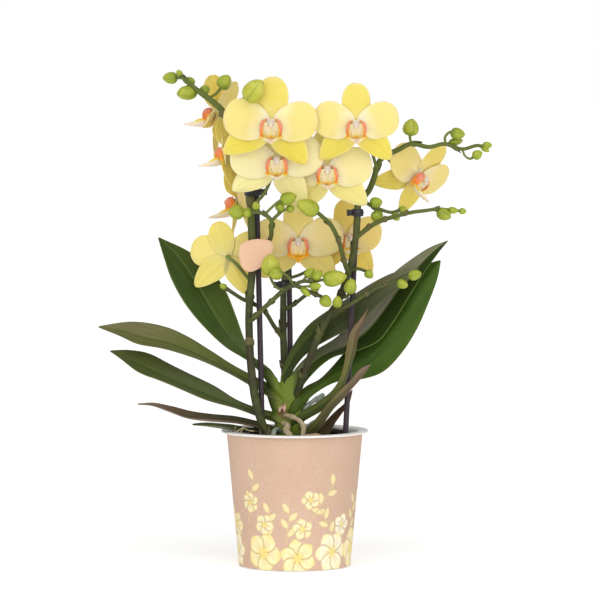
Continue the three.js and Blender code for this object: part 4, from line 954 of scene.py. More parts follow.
def leafPart(form, rng):
    first, second = edgesOf(form)
    root = np.array(form["root"])
    way = unit(first[0] - second[0]) * form["rootHalf"]
    edges = np.vstack([root + way, first]), np.vstack([root - way, second])
    phase = rng.uniform(0, 6, 3)

    def surface(u, v):
        a, b = (curveAt(edge, u * leaf["tip"]) for edge in edges)
        across = b - a
        facing = unit(np.cross(across, np.gradient((a + b) / 2, axis=0)))
        fold = form["fold"] + math.copysign(leaf["footFold"], form["fold"]) * (1 - smooth(u, 0.02, 0.2))
        lift = fold * np.linalg.norm(across, axis=-1) * (1 - np.abs(v) ** 1.4)
        wave = 0.35 * np.sin(9 * u + phase[0] + 1.2 * v) * v * v + 0.2 * np.sin(17 * u + phase[1]) * v
        rise = lift + wave * smooth(u, 0.15, 0.5)
        return a + across * ((v + 1) / 2)[..., None] + facing * rise[..., None]

    def thickness(u, v):
        taper = 1 - 0.45 * smooth(u, 0.5, 1)
        foot = leaf["footThick"] * (1 - smooth(u, 0.03, 0.2)) * (1 - 0.6 * v * v)
        return (leaf["rim"] + (leaf["thick"] - leaf["rim"]) * (1 - v * v)) * taper + foot

    def keel(u, v):
        rib = (np.exp(-(v / 0.07) ** 2) * smooth(1 - u, 0.0, 0.3))[..., None]
        pair = (leaf["groove"] * rib, leaf["keel"] * rib)
        return pair if form["upper"] > 0 else (-pair[1], -pair[0])

    points, faces, fields = blade(surface, thickness, leaf["rows"], leaf["columns"], keel)
    spine = curveAt((edges[0] + edges[1]) / 2, fields["along"] * leaf["tip"])
    fields["fromRib"] = np.linalg.norm(points - spine, axis=1) * np.sign(fields["across"])
    return points, faces, fields


def makeLeaves():
    rng = np.random.default_rng(leaf["seed"])
    for name, form in leafForms.items():
        makePiece(name + "_blade", leafPart(form, rng), leafMaterial(name, form), [name])


makeCrown()
makeLeaves()
print("crown and leaves made")


# Flower spikes: stems with nodes and bracts, bloom stalks and buds

# each spike: its stems' points in mm with their radii, the stalks of its open blooms, and each bud's stalk
# with the bud's half length and half width
spikeLeft = dict(
    stems=[
        ([(-14.5, -11, 80), (-19, -18, 94), (-22.8, -19.2, 102.7), (-27.3, -19.8, 118.6),
          (-29.8, -19.2, 134), (-31.6, -18.5, 155.3), (-32.3, -18.5, 176.6), (-31.5, -18.5, 194.3),
          (-30, -18.5, 212), (-30.2, -18.5, 233), (-30.8, -18.5, 251), (-31.6, -18.5, 268),
          (-35, -17, 286), (-40.7, -15, 302.3), (-46, -14.5, 315), (-51.4, -15, 324.8),
          (-59.2, -15, 331.9), (-67, -14, 337.5), (-74, -12, 343.2),
          (-79, -11, 347.5)], [2.3, 2.5, 2.2, 2.2, 2.1, 1.9, 1.7, 1.1]),
        ([(-32, -18.5, 175), (-29, -24, 178.4), (-23, -28, 184.3), (-14.5, -30, 192.2), (-7.5, -31, 198.6),
          (-1, -32, 202), (5, -32, 200), (12, -31, 196.5), (18.5, -29, 194)], [1.7, 1.5, 1.5, 1.2]),
        ([(-30.2, -18.5, 226), (-24.5, -19.6, 229.5), (-18.5, -20, 232.5), (-16.5, -24, 237),
          (-16.4, -30, 242), (-16.2, -35, 247.3), (-20.8, -36.5, 251.9), (-26.4, -37.5, 253.7),
          (-33, -38, 253)], [1.5, 1.5, 1.2]),
        ([(-16.2, -35, 247.3), (-12, -37, 251.5), (-8, -37.5, 255)], [1.2, 1.1]),
        ([(-1, -32, 202), (5, -31.5, 204.5), (11, -31, 204.8), (17, -31, 205.2)], [1.3, 1.1]),
    ],
    stalks={
        "bloom_top_left": [(-43, -15, 307), (-34, -24, 316), (-26.5, -38, 319)],
        "bloom_below_top_left": [(-30.8, -19, 257.5), (-25.5, -25, 261.5), (-21, -28, 267),
                                 (-16.5, -28, 277)],
        "bloom_left_profile_top": [(-49, -15, 320.5), (-46.5, -7, 324), (-46, 6, 324.5)],
        "bloom_left_profile_middle": [(-36.5, -16, 290), (-39, -10, 292)],
        "bloom_left_profile_low": [(-30.8, -18, 250), (-31, -6, 252.5), (-32, 6, 255), (-33.5, 16, 257)],
        "bloom_seen_from_back": [(-31, -19, 204), (-36, -19, 210), (-42, -16, 217)],
    },
    buds=[
        ([(-79, -8, 347.5), (-88, -6, 347.5)], (5.2, 4.2)),
        ([(-79, -8, 347.5), (-81.5, -9, 351)], (2.4, 2.2)), ([(-68, -7, 338), (-76, -11, 337)], (7.4, 5.2)),
        ([(-71, -7, 341), (-74, -7, 345)], (3.5, 3.2)), ([(-66, -6, 336.5), (-63.5, -3, 339)], (4, 3.5)),
        ([(-61.5, -7, 333), (-56, -9, 336), (-52.5, -10, 340), (-49.5, -10, 344.5)], (5.4, 5.2)),
        ([(-41.5, -12, 304), (-39.5, -20, 320), (-37, -35, 332), (-33.5, -47, 334), (-31.3, -54.5, 334.5),
          (-28, -57.5, 339)], (9, 7.2)),
        ([(-30, -38, 253.3), (-34, -38, 253.2)], (3.6, 3.5)),
        ([(-34, -38, 253.2), (-41, -38.5, 253.5)], (5.2, 5.2)),
        ([(-26, -37.5, 253.7), (-27, -37.5, 258)], (2.9, 2.7)),
        ([(-20.8, -36.5, 252), (-16, -39, 257), (-10.5, -40.5, 261.5), (-4.5, -40.5, 263.5)], (5.7, 4.5)),
        ([(-12, -37, 251.5), (-10, -37, 257.5)], (3.5, 3.3)),
        ([(-8, -37.5, 255), (-3, -36.5, 256)], (2.8, 2.7)),
        ([(-6.5, -31, 199), (-12, -33.5, 200), (-16.3, -34, 206), (-17, -34, 216)], (7.5, 6.5)),
        ([(-1, -32, 202.5), (-4, -36, 207.5), (-8.5, -40, 211), (-13, -41.5, 210.5)], (4.6, 4.5)),
        ([(5, -31.5, 204.5), (10.5, -30, 210.5)], (4.2, 3.3)),
        ([(11, -31, 204.8), (16, -31.5, 209)], (4.2, 3.3)), ([(5, -32, 201), (14.5, -34, 201.5)], (4, 2.8)),
        ([(5, -32, 200), (7.5, -33, 197.5)], (4.5, 2.3)), ([(17, -31, 205.2), (28, -31, 207)], (8.2, 5.7)),
        ([(18.5, -29, 194), (22, -29, 190.5)], (4.5, 4.2)),
    ],
)
spikeMiddle = dict(
    stems=[
        ([(-5, 4, 122), (-6.5, 8, 132), (-7.3, 11, 142), (-8, 12, 160.4), (-8.2, 12, 182), (-7.9, 12, 196),
          (-7, 11, 205), (-3.5, 7, 214.5)], [2.3, 2.1, 2, 1.7, 1.4]),
        ([(-8, 12, 161), (-14.8, 5, 171), (-21.9, -4, 182.4), (-29, -8, 187.4), (-37, -10, 191),
          (-44, -11, 195.5), (-48.5, -11, 198.5)], [1.5, 1.2]),
        ([(-6.5, 12, 182.6), (-0.5, 9, 186), (7.4, 4, 192.6), (12.5, 0, 196)], [1.4, 1.1]),
    ],
    stalks={
        "bloom_centre_low": [(-3.5, 7, 214.5), (-1, 3, 221)],
        "bloom_behind_right": [(-6.5, 10.5, 204), (6, 15, 208), (20, 21, 218)],
    },
    buds=[
        ([(10, 2, 194.5), (15, -2, 198.5)], (3.2, 2.8)), ([(-46, -11, 197), (-50.5, -11.5, 200)], (2.6, 2.2)),
    ],
)
spikeRight = dict(
    stems=[
        ([(-1, 0.5, 118), (3.1, -5, 127.5), (8.1, -9, 141.8), (15.1, -12.5, 160.6), (23.6, -15.5, 178.5),
          (30.7, -17.5, 189.3), (36.3, -18, 204.9), (40.5, -18, 219.1), (43.4, -18, 236.7),
          (44.5, -18, 249), (45, -18, 258), (48, -13, 263), (52.7, -7, 268), (56.3, -4, 276.6),
          (58.4, -4, 284.4), (61.2, -5, 290), (66, -7, 293.7), (73.2, -9, 296.6), (82.3, -11, 301),
          (95, -13, 298.8), (105.6, -14, 300.9), (118.2, -15, 297.4), (129.5, -15, 299.9),
          (135, -15, 298)], [2.4, 2.4, 2.2, 2.1, 1.9, 1.7, 1.3, 1]),
        ([(38.5, -18, 210), (36.5, -22, 214), (34.8, -25, 219.4), (31, -29, 232.9), (25.6, -33, 244.3),
          (20, -36, 250), (14.5, -38, 254.5)], [1.7, 1.5, 1.3]),
        ([(43.2, -18, 234.6), (47.6, -20, 238.3), (53.9, -22, 243.3), (62.3, -24, 247.6), (72, -26, 250.5),
          (82, -27, 253), (92, -28, 254.4), (101, -28, 255.5), (108, -28, 255)], [1.7, 1.4, 1]),
        ([(27, -17, 183), (32, -22, 184.6), (39, -25, 188), (46, -27, 192.7), (58, -29, 199.9),
          (69.3, -30, 204), (79, -31, 207.5)], [1.5, 1.2, 1]),
        ([(47.5, -13.5, 262.5), (52, -14, 258.5), (60, -16, 255), (68, -16, 252.8),
          (74, -15.5, 254)], [1.3, 1]),
        ([(38.8, -18, 211.5), (45, -21.5, 213), (50, -23.5, 211.5)], [1.2, 1]),
        ([(32.5, -18, 193), (36.5, -25, 193.5), (38.5, -29.5, 196)], [1.2, 1.1]),
        ([(28.5, -17.5, 186), (29.5, -23, 185.5)], [1.2, 1.1]),
    ],
    stalks={
        "bloom_top_right": [(58, -4.5, 284), (54, -14, 297), (48, -26, 309)],
        "bloom_below_top_right": [(46.5, -15, 261), (38, -14.5, 268), (29, -17, 277)],
        "bloom_far_right": [(66, -6.5, 293.4), (66, 1, 290.5), (70, 9, 286.5), (78, 15, 280.5)],
    },
    buds=[
        ([(82.3, -11, 301), (81.5, -12, 306), (82.3, -12, 312.5)], (5.9, 5.7)),
        ([(106.5, -14, 301), (106.3, -15, 306), (109.5, -15.5, 309.3), (115, -15.5, 308.3)], (5, 4.1)),
        ([(106, -13.5, 301), (114, -10.5, 302.5)], (5.2, 2.8)),
        ([(130, -15, 299.9), (136, -15, 300)], (3.3, 2.6)),
        ([(118.5, -15, 297.5), (120.3, -15.5, 292.5), (124, -16, 290.5), (129, -16, 293.5)], (3.6, 3.4)),
        ([(98, -28, 255.3), (105, -28.5, 251.8)], (5.2, 4.3)),
        ([(106, -28, 255.2), (111.5, -28, 254.6)], (3.6, 2.4)),
        ([(111.5, -28, 254.6), (118.3, -28, 254)], (2.6, 2.2)),
        ([(71, -30, 204.5), (75.8, -31.5, 202.8)], (4, 3.3)),
        ([(79, -31, 207.5), (84.5, -31, 209.2)], (4.6, 3.6)),
        ([(52, -14, 258.5), (57.5, -14.5, 259.5)], (4.3, 4.1)),
        ([(57, -15.5, 256), (58.5, -16, 249.5)], (4.6, 4.4)),
        ([(68, -16, 252.8), (71.5, -16.3, 249.6)], (3.2, 2.8)),
        ([(72, -15.7, 253.5), (76.5, -15, 254.7)], (2.8, 2.7)),
        ([(50, -23.5, 211.5), (52.5, -24, 209.3)], (3.3, 3.1)),
        ([(38.5, -29.5, 196), (39.5, -30.5, 201)], (5.4, 4.4)),
        ([(29.5, -23, 185.5), (30.2, -27, 190)], (4.8, 3.4)),
        ([(16.5, -37.5, 253.5), (9.5, -39.5, 257)], (8.2, 5.8)),
        ([(131, -15, 299.2), (134.6, -15, 297.2)], (3.1, 1.8)),
    ],
)
spikeForms = {"spike_left": spikeLeft, "spike_middle": spikeMiddle, "spike_right": spikeRight}

spike = dict(
    sides=16, step=1.3, internode=33.0, swell=0.45, stalkRadius=1.15, seed=12,
    bractLength=6.5, bractLift=0.3, budRows=18, budSides=30,
    # how much stouter the stems are than their radii say: each spike's main stem, and the side stems
    stout={"spike_left": 1.24, "spike_middle": 1.25, "spike_right": 1.1}, sideStout=1.08,
    rind=[(0.36, "#3C3424"), (0.5, "#3B3F23"), (0.68, "#565A2E")],
    pale="#7E8C46", fresh="#6A7630", bract="#655F3C", budSeam="#66782A",
    # buds from their stalks to their tips, small ones and ripe ones
    youngBud=[(0, "#687C20"), (0.45, "#93A02A"), (0.9, "#A3AA34"), (1, "#80922C")],
    ripeBud=[(0, "#97A432"), (0.4, "#B4B43A"), (0.85, "#C2C052"), (1, "#A8A83C")],
)


def stemMaterial():
    # flower stem: firm green rind with a waxy bloom, brown-green where the sun has reached it
    material, add, shader, place, pale, dry = startMaterial("waxyStemRind", {
        "Roughness": 0.5, "IOR": 1.45, "Specular IOR Level": 0.22, "Subsurface Weight": 0.04,
        "Subsurface Scale": 0.002, "Subsurface Radius": (0.5, 1.0, 0.25),
    }, ("pale", "dry"))
    cloud = add("TexNoise", {"Scale": 70, "Detail": 3}, {"Vector": place})
    fine = add("TexNoise", {"Scale": 900, "Detail": 2}, {"Vector": place})
    mixed = add("Mix", {"data_type": "FLOAT", 0: 0.25}, {2: cloud, 3: fine})
    base = add("ValToRGB", {"stops": spike["rind"]}, {0: mixed})
    height = add("SeparateXYZ", {}, {0: place})
    youth = add("MapRange", {1: 0.2, 2: 0.3, 4: 0.65}, {0: height.outputs["Z"]})
    fresh = add("Mix", {7: spike["fresh"]}, {0: youth, 6: base})
    near = add("Mix", {7: spike["pale"]}, {0: pale, 6: fresh})
    scale = add("Mix", {7: spike["bract"]}, {0: dry, 6: near})
    rough = add("MapRange", fromNoise(0.42, 0.6), {0: cloud})
    relief = add("Bump", {"Strength": 0.25}, {"Height": fine})
    feed(shader, {"Base Color": scale, "Roughness": rough, "Normal": relief})
    return material


def budMaterial():
    # closed bud: thin waxy sepals over each other, a satin sheen, lit a little from inside
    material, add, shader, place, share, ripe, seam = startMaterial("satinBudSepal", {
        "Roughness": 0.42, "IOR": 1.42, "Subsurface Weight": 0.25, "Subsurface Scale": 0.003,
        "Subsurface Radius": (0.7, 1.0, 0.25),
    }, ("share", "ripe", "seam"))
    cloud = add("TexNoise", {"Scale": 240, "Detail": 2}, {"Vector": place})
    drift = add("MapRange", fromNoise(-0.2, 0.2), {0: cloud})
    where = add("Math", {"operation": "ADD"}, {0: share, 1: drift})
    young = add("ValToRGB", {"stops": spike["youngBud"]}, {0: where})
    old = add("ValToRGB", {"stops": spike["ripeBud"]}, {0: where})
    both = add("Mix", {}, {0: ripe, 6: young, 7: old})
    line = add("Mix", {7: spike["budSeam"]}, {0: seam, 6: both})
    relief = add("Bump", {"Strength": 0.15}, {"Height": cloud})
    feed(shader, {"Base Color": line, "Normal": relief})
    return material


def facingOf(bloom):
    turn, tilt = (math.radians(bloom[key]) for key in ("turn", "tilt"))
    return np.array((math.sin(turn) * math.cos(tilt), -math.cos(turn) * math.cos(tilt), -math.sin(tilt)))


def behind(bloom, distance):  # a point straight back from a bloom's face
    return np.array(bloom["centre"]) - distance * facingOf(bloom)


def stemPart(points, radii, rng, main):
    length = evenly(points, 2)[1][-1]
    gap = spike["internode"] * (1 if main else 0.5)
    knots = np.arange(gap * 0.6, length - 3, gap) if length > 18 else np.array([])
    knots = knots + rng.uniform(-3, 3, len(knots))

    def shape(distance, turn):
        ring = sum((np.exp(-((distance - k) / 1.1) ** 2) for k in knots), np.zeros_like(distance))
        return spike["swell"] * ring * radii[0] / 2.2 + 0.05 * np.sin(3 * turn + distance * 0.2)

    part = sweep(points, radii, spike["sides"], spike["step"], shape)
    bracts = []
    t, distance = evenly(points, 1.0)
    line = curveAt(points, t)
    ahead, side, up = framesOf(line)
    for k in knots:
        i = min(int(np.searchsorted(distance, k)), len(line) - 1)
        radius = float(np.interp(t[i], np.linspace(0, 1, len(radii)), radii)) + 0.25
        around = rng.uniform(0, 6)
        size = spike["bractLength"] * (0.9 if main else 0.5)
        bracts.append(marked(bractPart(line[i], ahead[i], side[i], up[i], radius, size, around), dry=0.75))
    return [marked(part, pale=0.0 if main else 0.15)] + bracts


def bractPart(at, ahead, side, up, radius, length, around):  # a small sheath that hugs the stem
    def surface(u, v):
        turn = around + v * 1.9 * (1 - u ** 1.8)
        reach = radius + spike["bractLift"] + 0.5 * u ** 2
        out = np.cos(turn)[..., None] * side + np.sin(turn)[..., None] * up
        return at + ahead * ((u - 0.12) * length)[..., None] + out * np.asarray(reach)[..., None]

    return blade(surface, lambda u, v: 0.3 + 0.15 * (1 - v * v), 9, 10)


def budPart(route, size, rng):
    long, wide = size
    route = np.array(route, float)
    way = unit(route[-1] - route[-2])
    side = unit(np.cross(way, (0.31, 0.52, 0.8)))
    up = np.cross(way, side)
    rows, sides = spike["budRows"], spike["budSides"]
    turn = fullTurn(sides)
    seams = rng.uniform(0, 2) + np.array([0, 2.1, 4.2])
    off = ((turn - seams[:, None] + math.pi) % (2 * math.pi)) - math.pi
    near = np.exp(-(off / 0.085) ** 2).sum(0)
    verts, shares, lines = [], [], []
    for f in np.linspace(0.04, 0.97, rows):
        a = math.pi * f
        x = -math.cos(a) * long * (1 + 0.07 * smooth(f, 0.7, 1))
        full = math.sin(a) ** 0.86 * (1 + 0.17 * math.cos(a)) * (1 - 0.2 * smooth(f, 0.7, 0.97)) * wide
        r = full * (1 - 0.028 * near * math.sin(a)) * (1 + 0.03 * np.sin(3 * turn + seams[0]))
        verts.append(hoop(route[-1] + way * x, turn, side, up, r, r))
        shares.append(np.full(sides, f))
        lines.append(near * 0.75 * math.sin(a) ** 0.5)
    verts += [(route[-1] - way * long)[None], (route[-1] + way * long * 1.09)[None]]
    faces = ringFaces(rows, sides, ends=True)
    ripe = smooth(wide, 4.6, 7.4)
    fields = {"share": np.concatenate(shares + [[0, 1]]), "seam": np.concatenate(lines + [[0, 0]])}
    return marked((np.vstack(verts), faces, fields), ripe=ripe + rng.uniform(-0.1, 0.15))


def budStalk(route, size):
    long, wide = size
    thin = 1.0 if wide > 3.5 else 0.8
    route = np.array(route, float)
    reach = [*route[:-1], route[-1] - unit(route[-1] - route[-2]) * long * 0.8]
    if len(reach) == 2:
        reach.insert(1, (reach[0] + reach[1]) / 2)
    part = sweep(reach, [thin, thin * 0.95, thin * 1.05, thin * 1.5], 12, 1.0)
    return marked(part, pale=0.45)


def bloomStalk(bloom, points):  # a stalk that ends square to the back of its bloom
    route = [*points, behind(bloom, 6), behind(bloom, 1.2)]
    radii = [spike["stalkRadius"] * share for share in (1, 1, 1.05, 1.25, 1.7)]
    part = sweep(route, radii, 14, 1.1)
    return marked(part, pale=0.3 + 0.7 * smooth(part[2]["share"], 0.3, 1))


def makeSpikes():
    stems, buds = stemMaterial(), budMaterial()
    rng = np.random.default_rng(spike["seed"])
    for name, form in spikeForms.items():
        parts, closed = [], []
        for number, (points, radii) in enumerate(form["stems"]):
            stout = spike["sideStout"] if number else spike["stout"][name]
            parts += stemPart(points, [r * stout for r in radii], rng, number == 0)
        parts += [bloomStalk(blooms[bloomName], points) for bloomName, points in form["stalks"].items()]
        for route, size in form["buds"]:
            closed.append(budPart(route, size, rng))
            parts.append(budStalk(route, size))
        makePiece(name + "_stems", joined(parts), stems, [name])
        makePiece(name + "_buds", joined(closed), buds, [name])


# Roots over the bark, and thin loose rootlets

rootForms = {
    "root_arched": dict(radius=1.7, skin="root_tan", points=[
        (-7, -5, 108), (-1, -11, 107), (4.5, -15, 104), (6.5, -17.5, 100), (6, -19, 95.5), (5, -19, 84),
    ]),
    "root_thick": dict(radius=2.3, skin="root_tan", points=[
        (-8, -3, 102), (-5, -11, 100.5), (-6, -14.5, 97.5), (-3, -16.5, 93.5), (-2, -17.5, 84),
    ]),
    "root_silver_long": dict(radius=1.7, skin="root_silver", points=[
        (-2, -4, 104), (4, -1, 110), (12, 2.5, 116.5), (20, 5, 121.5),
    ]),
    "root_green_tip": dict(radius=1.6, skin="root_silver", points=[
        (-10, -3, 96), (-13, -11, 98.5), (-15, -20, 95.5), (-15, -22.5, 84),
    ]),
}
rootStub = dict(points=[(5, -2, 94), (8.5, -5, 98.5), (12, -7, 101.5), (14.5, -8, 103.5)], radius=1.8)
rootlets = [
    ([(-44, -18, 95.5), (-40, -20, 98), (-36, -21, 100.5), (-33, -21, 98.5), (-29, -21, 98)], 0.5),
    ([(-36, -21, 100.5), (-38, -22, 97), (-36, -22, 93), (-34, -21, 90)], 0.45),
    ([(-41, -19, 97), (-43, -19, 99.5), (-41.5, -19, 101)], 0.4),
    ([(-30, 18, 90), (-22, 22, 94), (-14, 20, 93), (-8, 16, 90)], 0.5),
    ([(16, 20, 90), (24, 24, 93.5), (31, 20, 92), (35, 13, 89)], 0.5),
]
root = dict(seed=5, sides=18, step=0.8)
# each skin's dark, middle and light tones, and its moss
rootSkin = dict(
    root_tan=("#8C7A60", "#B3A182", "#CDBFA3", "#8C885A"),
    root_silver=("#66746A", "#8E9A8E", "#AEB8AC", "#74824C"),
)


def rootMaterial(key):
    # velamen, the spongy dead skin of an aerial root: dull, silvery or tan, with fine lengthways creases
    material, add, shader, place, along, turn = startMaterial(
        "spongyVelamen_" + key, {"Roughness": 0.82, "Specular IOR Level": 0.3}, ("along", "turn"),
    )
    dark, middle, light, moss = rootSkin[key]
    rolled = add("CombineXYZ", {}, {0: along, 1: turn})
    drawn = add("Mapping", {"Scale": (0.22, 2.4, 1)}, {"Vector": rolled})
    crease = add("TexNoise", {"Scale": 1, "Detail": 4, "Roughness": 0.65}, {"Vector": drawn})
    colour = add("ValToRGB", {"stops": [(0.32, dark), (0.5, middle), (0.68, light)]}, {0: crease})
    patch = add("TexNoise", {"Scale": 160, "Detail": 2}, {"Vector": place})
    share = add("MapRange", {1: 0.5, 2: 0.68, 4: 0.6}, {0: patch})
    green = add("Mix", {7: moss}, {0: share, 6: colour})
    relief = add("Bump", {"Strength": 0.5, "Distance": 0.0005}, {"Height": crease})
    feed(shader, {"Base Color": green, "Normal": relief})
    return material


def rootPart(points, radius, rng):
    phase = rng.uniform(0, 6, 3)

    def shape(distance, turn):
        slow = 0.12 * np.sin(distance * 0.45 + phase[0]) + 0.07 * np.sin(distance * 1.1 + phase[1])
        return radius * (slow + 0.05 * np.sin(3 * turn + phase[2] + distance * 0.1))

    return sweep(points, [radius * 1.02] * 3 + [radius * 0.92], root["sides"], root["step"], shape)


def makeRoots():
    rng = np.random.default_rng(root["seed"])
    skins = {key: rootMaterial(key) for key in rootSkin}
    for name, form in rootForms.items():
        part = rootPart(form["points"], form["radius"], rng)
        makePiece(name + "_velamen", part, skins[form["skin"]], [name])
    stub = rootPart(rootStub["points"], rootStub["radius"], rng)
    makePiece("root_stub", stub, skins["root_silver"], [])
    fine = [rootPart(points, radius, rng) for points, radius in rootlets]
    makePiece("rootlets_fine", joined(fine), skins["root_tan"], [])


makeRoots()
print("roots made")


# Sticks, clips and the blank tag

stickForms = {
    "stick_left": ((-22.2, -14, 45), (-26.9, -14, 268.6)),
    "stick_middle": ((-2.2, 16, 45), (-4.1, 15, 216)),
    "stick_right": ((33.3, -12, 45), (44.2, -12, 259.5)),
}
stick = dict(
    radius=2.0, bow=(0.25, 0.1, 0), dye=[(0.3, "#251B22"), (0.52, "#33262E"), (0.75, "#4C3D44")],
    # the pale residue that the left one has round its foot
    residue="#8C8480", residueTop=108.0,
)


def stickMaterial():
    # dyed split bamboo: straight fine grain, a dry satin face, the dye thinner along the ridges
    material, add, shader, place, dirt = startMaterial(
        "dyedBamboo", {"Roughness": 0.55, "Specular IOR Level": 0.4}, ("dirt",),
    )
    # bamboo fibres are 0.1 mm apart; they are drawn 0.5 mm apart so that they show
    drawn = add("Mapping", {"Scale": (1900, 1900, 45)}, {"Vector": place})
    grain = add("TexNoise", {"Scale": 1, "Detail": 3}, {"Vector": drawn})
    colour = add("ValToRGB", {"stops": stick["dye"]}, {0: grain})
    cloud = add("TexNoise", {"Scale": 300, "Detail": 3}, {"Vector": place})
    patch = add("MapRange", {1: 0.35, 2: 0.6}, {0: cloud})
    share = add("Math", {"operation": "MULTIPLY"}, {0: dirt, 1: patch})
    dusty = add("Mix", {7: stick["residue"]}, {0: share, 6: colour})
    relief = add("Bump", {"Strength": 0.3}, {"Height": grain})
    feed(shader, {"Base Color": dusty, "Normal": relief})
    return material


def makeSticks():
    material = stickMaterial()
    for name, (foot, top) in stickForms.items():
        foot, top, bow = (np.array(place, float) for place in (foot, top, stick["bow"]))
        low, high = foot * 0.66 + top * 0.34 + bow, foot * 0.33 + top * 0.67 + bow * 0.6
        route = [foot, low, high, top - (0, 0, 0.8)]
        part = sweep(route, [stick["radius"]] * 3 + [stick["radius"] * 0.96], 20, 3.0, ends=(0.4, 0.4))
        above = part[0][:, 2] - stick["residueTop"]
        dirt = smooth(-above, -3, 6) if name == "stick_left" else 0
        makePiece(name + "_bamboo", marked(part, dirt=dirt), material, [name])


clipForms = {
    "clip_left": dict(start=(-31.6, -18.5), end=(-26.9, -14), height=267, latch=(-22.4, -11.6), turn=0),
    "clip_middle": dict(start=(-8.2, 12), end=(-3.9, 15.1), height=200, latch=(-12.3, 9.8), turn=20),
    "clip_right": dict(start=(44.7, -17.8), end=(43.9, -12), height=252.5, latch=(39.6, -17), turn=10),
}
# the ridge round each clip is stated by how far it stands out, and by its height and rounding
clip = dict(
    bore=2.8, wall=1.1, tall=5.0, round=0.32, ridge=0.35, ridgeForm=(1.4, 0.15), latchSize=3.5,
    latchRound=0.5, teeth=(1.6, 2.3), toothThick=0.55, toothRound=0.18,
    black=[(0.3, "#17171A"), (0.75, "#2B2B30")],
)


def clipMaterial():
    # moulded black polypropylene: a low even sheen with a fine mould texture
    material, add, shader, place = startMaterial(
        "mouldedBlackPolypropylene", {"Roughness": 0.36, "IOR": 1.49},
    )
    grain = add("TexNoise", {"Scale": 1500, "Detail": 2}, {"Vector": place})
    colour = add("ValToRGB", {"stops": clip["black"]}, {0: grain})
    rough = add("MapRange", {3: 0.28, 4: 0.46}, {0: grain})
    relief = add("Bump", {"Strength": 0.15, "Distance": 0.0002}, {"Height": grain})
    feed(shader, {"Base Color": colour, "Roughness": rough, "Normal": relief})
    return material


def ringBand(start, end, height, inner, outer, tall, edge):  # an oval band round two uprights
    start, end = np.array(start, float), np.array(end, float)
    heading = math.degrees(math.atan2(*(end - start)[::-1]))
    half, count = tall / 2, 15
    section = [(inner, -half + edge), (inner, half - edge), (inner + edge, half), (outer - edge, half),
               (outer, half - edge), (outer, -half + edge), (outer - edge, -half), (inner + edge, -half)]
    rows = []
    for radius, rise in section:
        for middle, first in ((end, heading - 90), (start, heading + 90)):
            rows += [(*spot, height + rise) for spot in arcOf(middle, radius, first, first + 180, count)]
    return np.array(rows), ringFaces(len(section), 2 * count, closed=True), {}


def roundedBlock(middle, size, edge, turn):  # a block with rounded edges, made by bevelling
    shell = bmesh.new()
    bmesh.ops.create_cube(shell, size=1.0)
    bmesh.ops.scale(shell, vec=Vector(size), verts=shell.verts)
    bmesh.ops.bevel(shell, geom=shell.edges[:], offset=edge, segments=3, profile=0.5, affect="EDGES")
    place = Matrix.Translation(middle) @ turned(turn, "Z")
    points = np.array([tuple(place @ v.co) for v in shell.verts])
    shell.verts.index_update()
    faces = [tuple(v.index for v in f.verts) for f in shell.faces]
    shell.free()
    return points, faces, {}


def makeClips():
    material = clipMaterial()
    tall, size, outer = clip["tall"], clip["latchSize"], clip["bore"] + clip["wall"]
    for name, form in clipForms.items():
        start, end, height, latch = (form[key] for key in ("start", "end", "height", "latch"))
        parts = [
            ringBand(start, end, height, clip["bore"], outer, tall, clip["round"]),
            ringBand(start, end, height, outer - 0.1, outer + clip["ridge"], *clip["ridgeForm"]),
            roundedBlock((*latch, height), (size, size, tall * 0.8), clip["latchRound"], form["turn"]),
        ]
        out = unit(np.array(latch) - (np.array(start) + np.array(end)) / 2)
        for reach in clip["teeth"]:
            block = (clip["toothThick"], size * 0.9, tall * 0.9)
            heading = math.degrees(math.atan2(out[1], out[0]))
            parts.append(roundedBlock((*(latch + out * reach), height), block, clip["toothRound"], heading))
        makePiece(name + "_moulded", joined(parts), material, [name])


tag = dict(
    # a corner-rounded shield shape, x and height in mm
    outline=[(-39.2, 225.5), (-37.5, 230.7), (-32, 233.3), (-24.3, 234.2), (-17.4, 233), (-15.2, 229.2),
             (-16.9, 222.8), (-21.3, 216.4), (-27.4, 212), (-32.8, 211), (-36.6, 213.8), (-38.7, 219.2)],
    # its rings from the middle of its front to its edge: their share of the outline, and of the thickness
    rings=[(0.02, 0.0), (0.5, 0.0), (0.975, 0.0), (0.99, 0.15), (1.0, 0.5)],
    count=96, front=-23.4, back=-22.6, dish=0.25, neckShift=1.2, neckWidth=1.6, neckRound=0.25,
    jawMiddle=(-25.9, -14), jawInner=2.35, jawWall=1.0, jawHeight=221.0, jawTall=5.0, jawFrom=-120, jawTo=80,
    peach=[(0.3, "#C99776"), (0.45, "#DDB192"), (0.7, "#E2BB9E")],
)


def tagMaterial():
    # thick uncoated card stock, die cut: matt with a faint fibre tooth
    material, add, shader, place = startMaterial(
        "dieCutPeachCard", {"Roughness": 0.8, "Specular IOR Level": 0.3},
    )
    tooth = add("TexNoise", {"Scale": 900, "Detail": 3}, {"Vector": place})
    cloud = add("TexNoise", {"Scale": 60, "Detail": 2}, {"Vector": place})
    mixed = add("Mix", {"data_type": "FLOAT", 0: 0.5}, {2: tooth, 3: cloud})
    colour = add("ValToRGB", {"stops": tag["peach"]}, {0: mixed})
    relief = add("Bump", {"Strength": 0.2, "Distance": 0.0002}, {"Height": tooth})
    feed(shader, {"Base Color": colour, "Normal": relief})
    return material


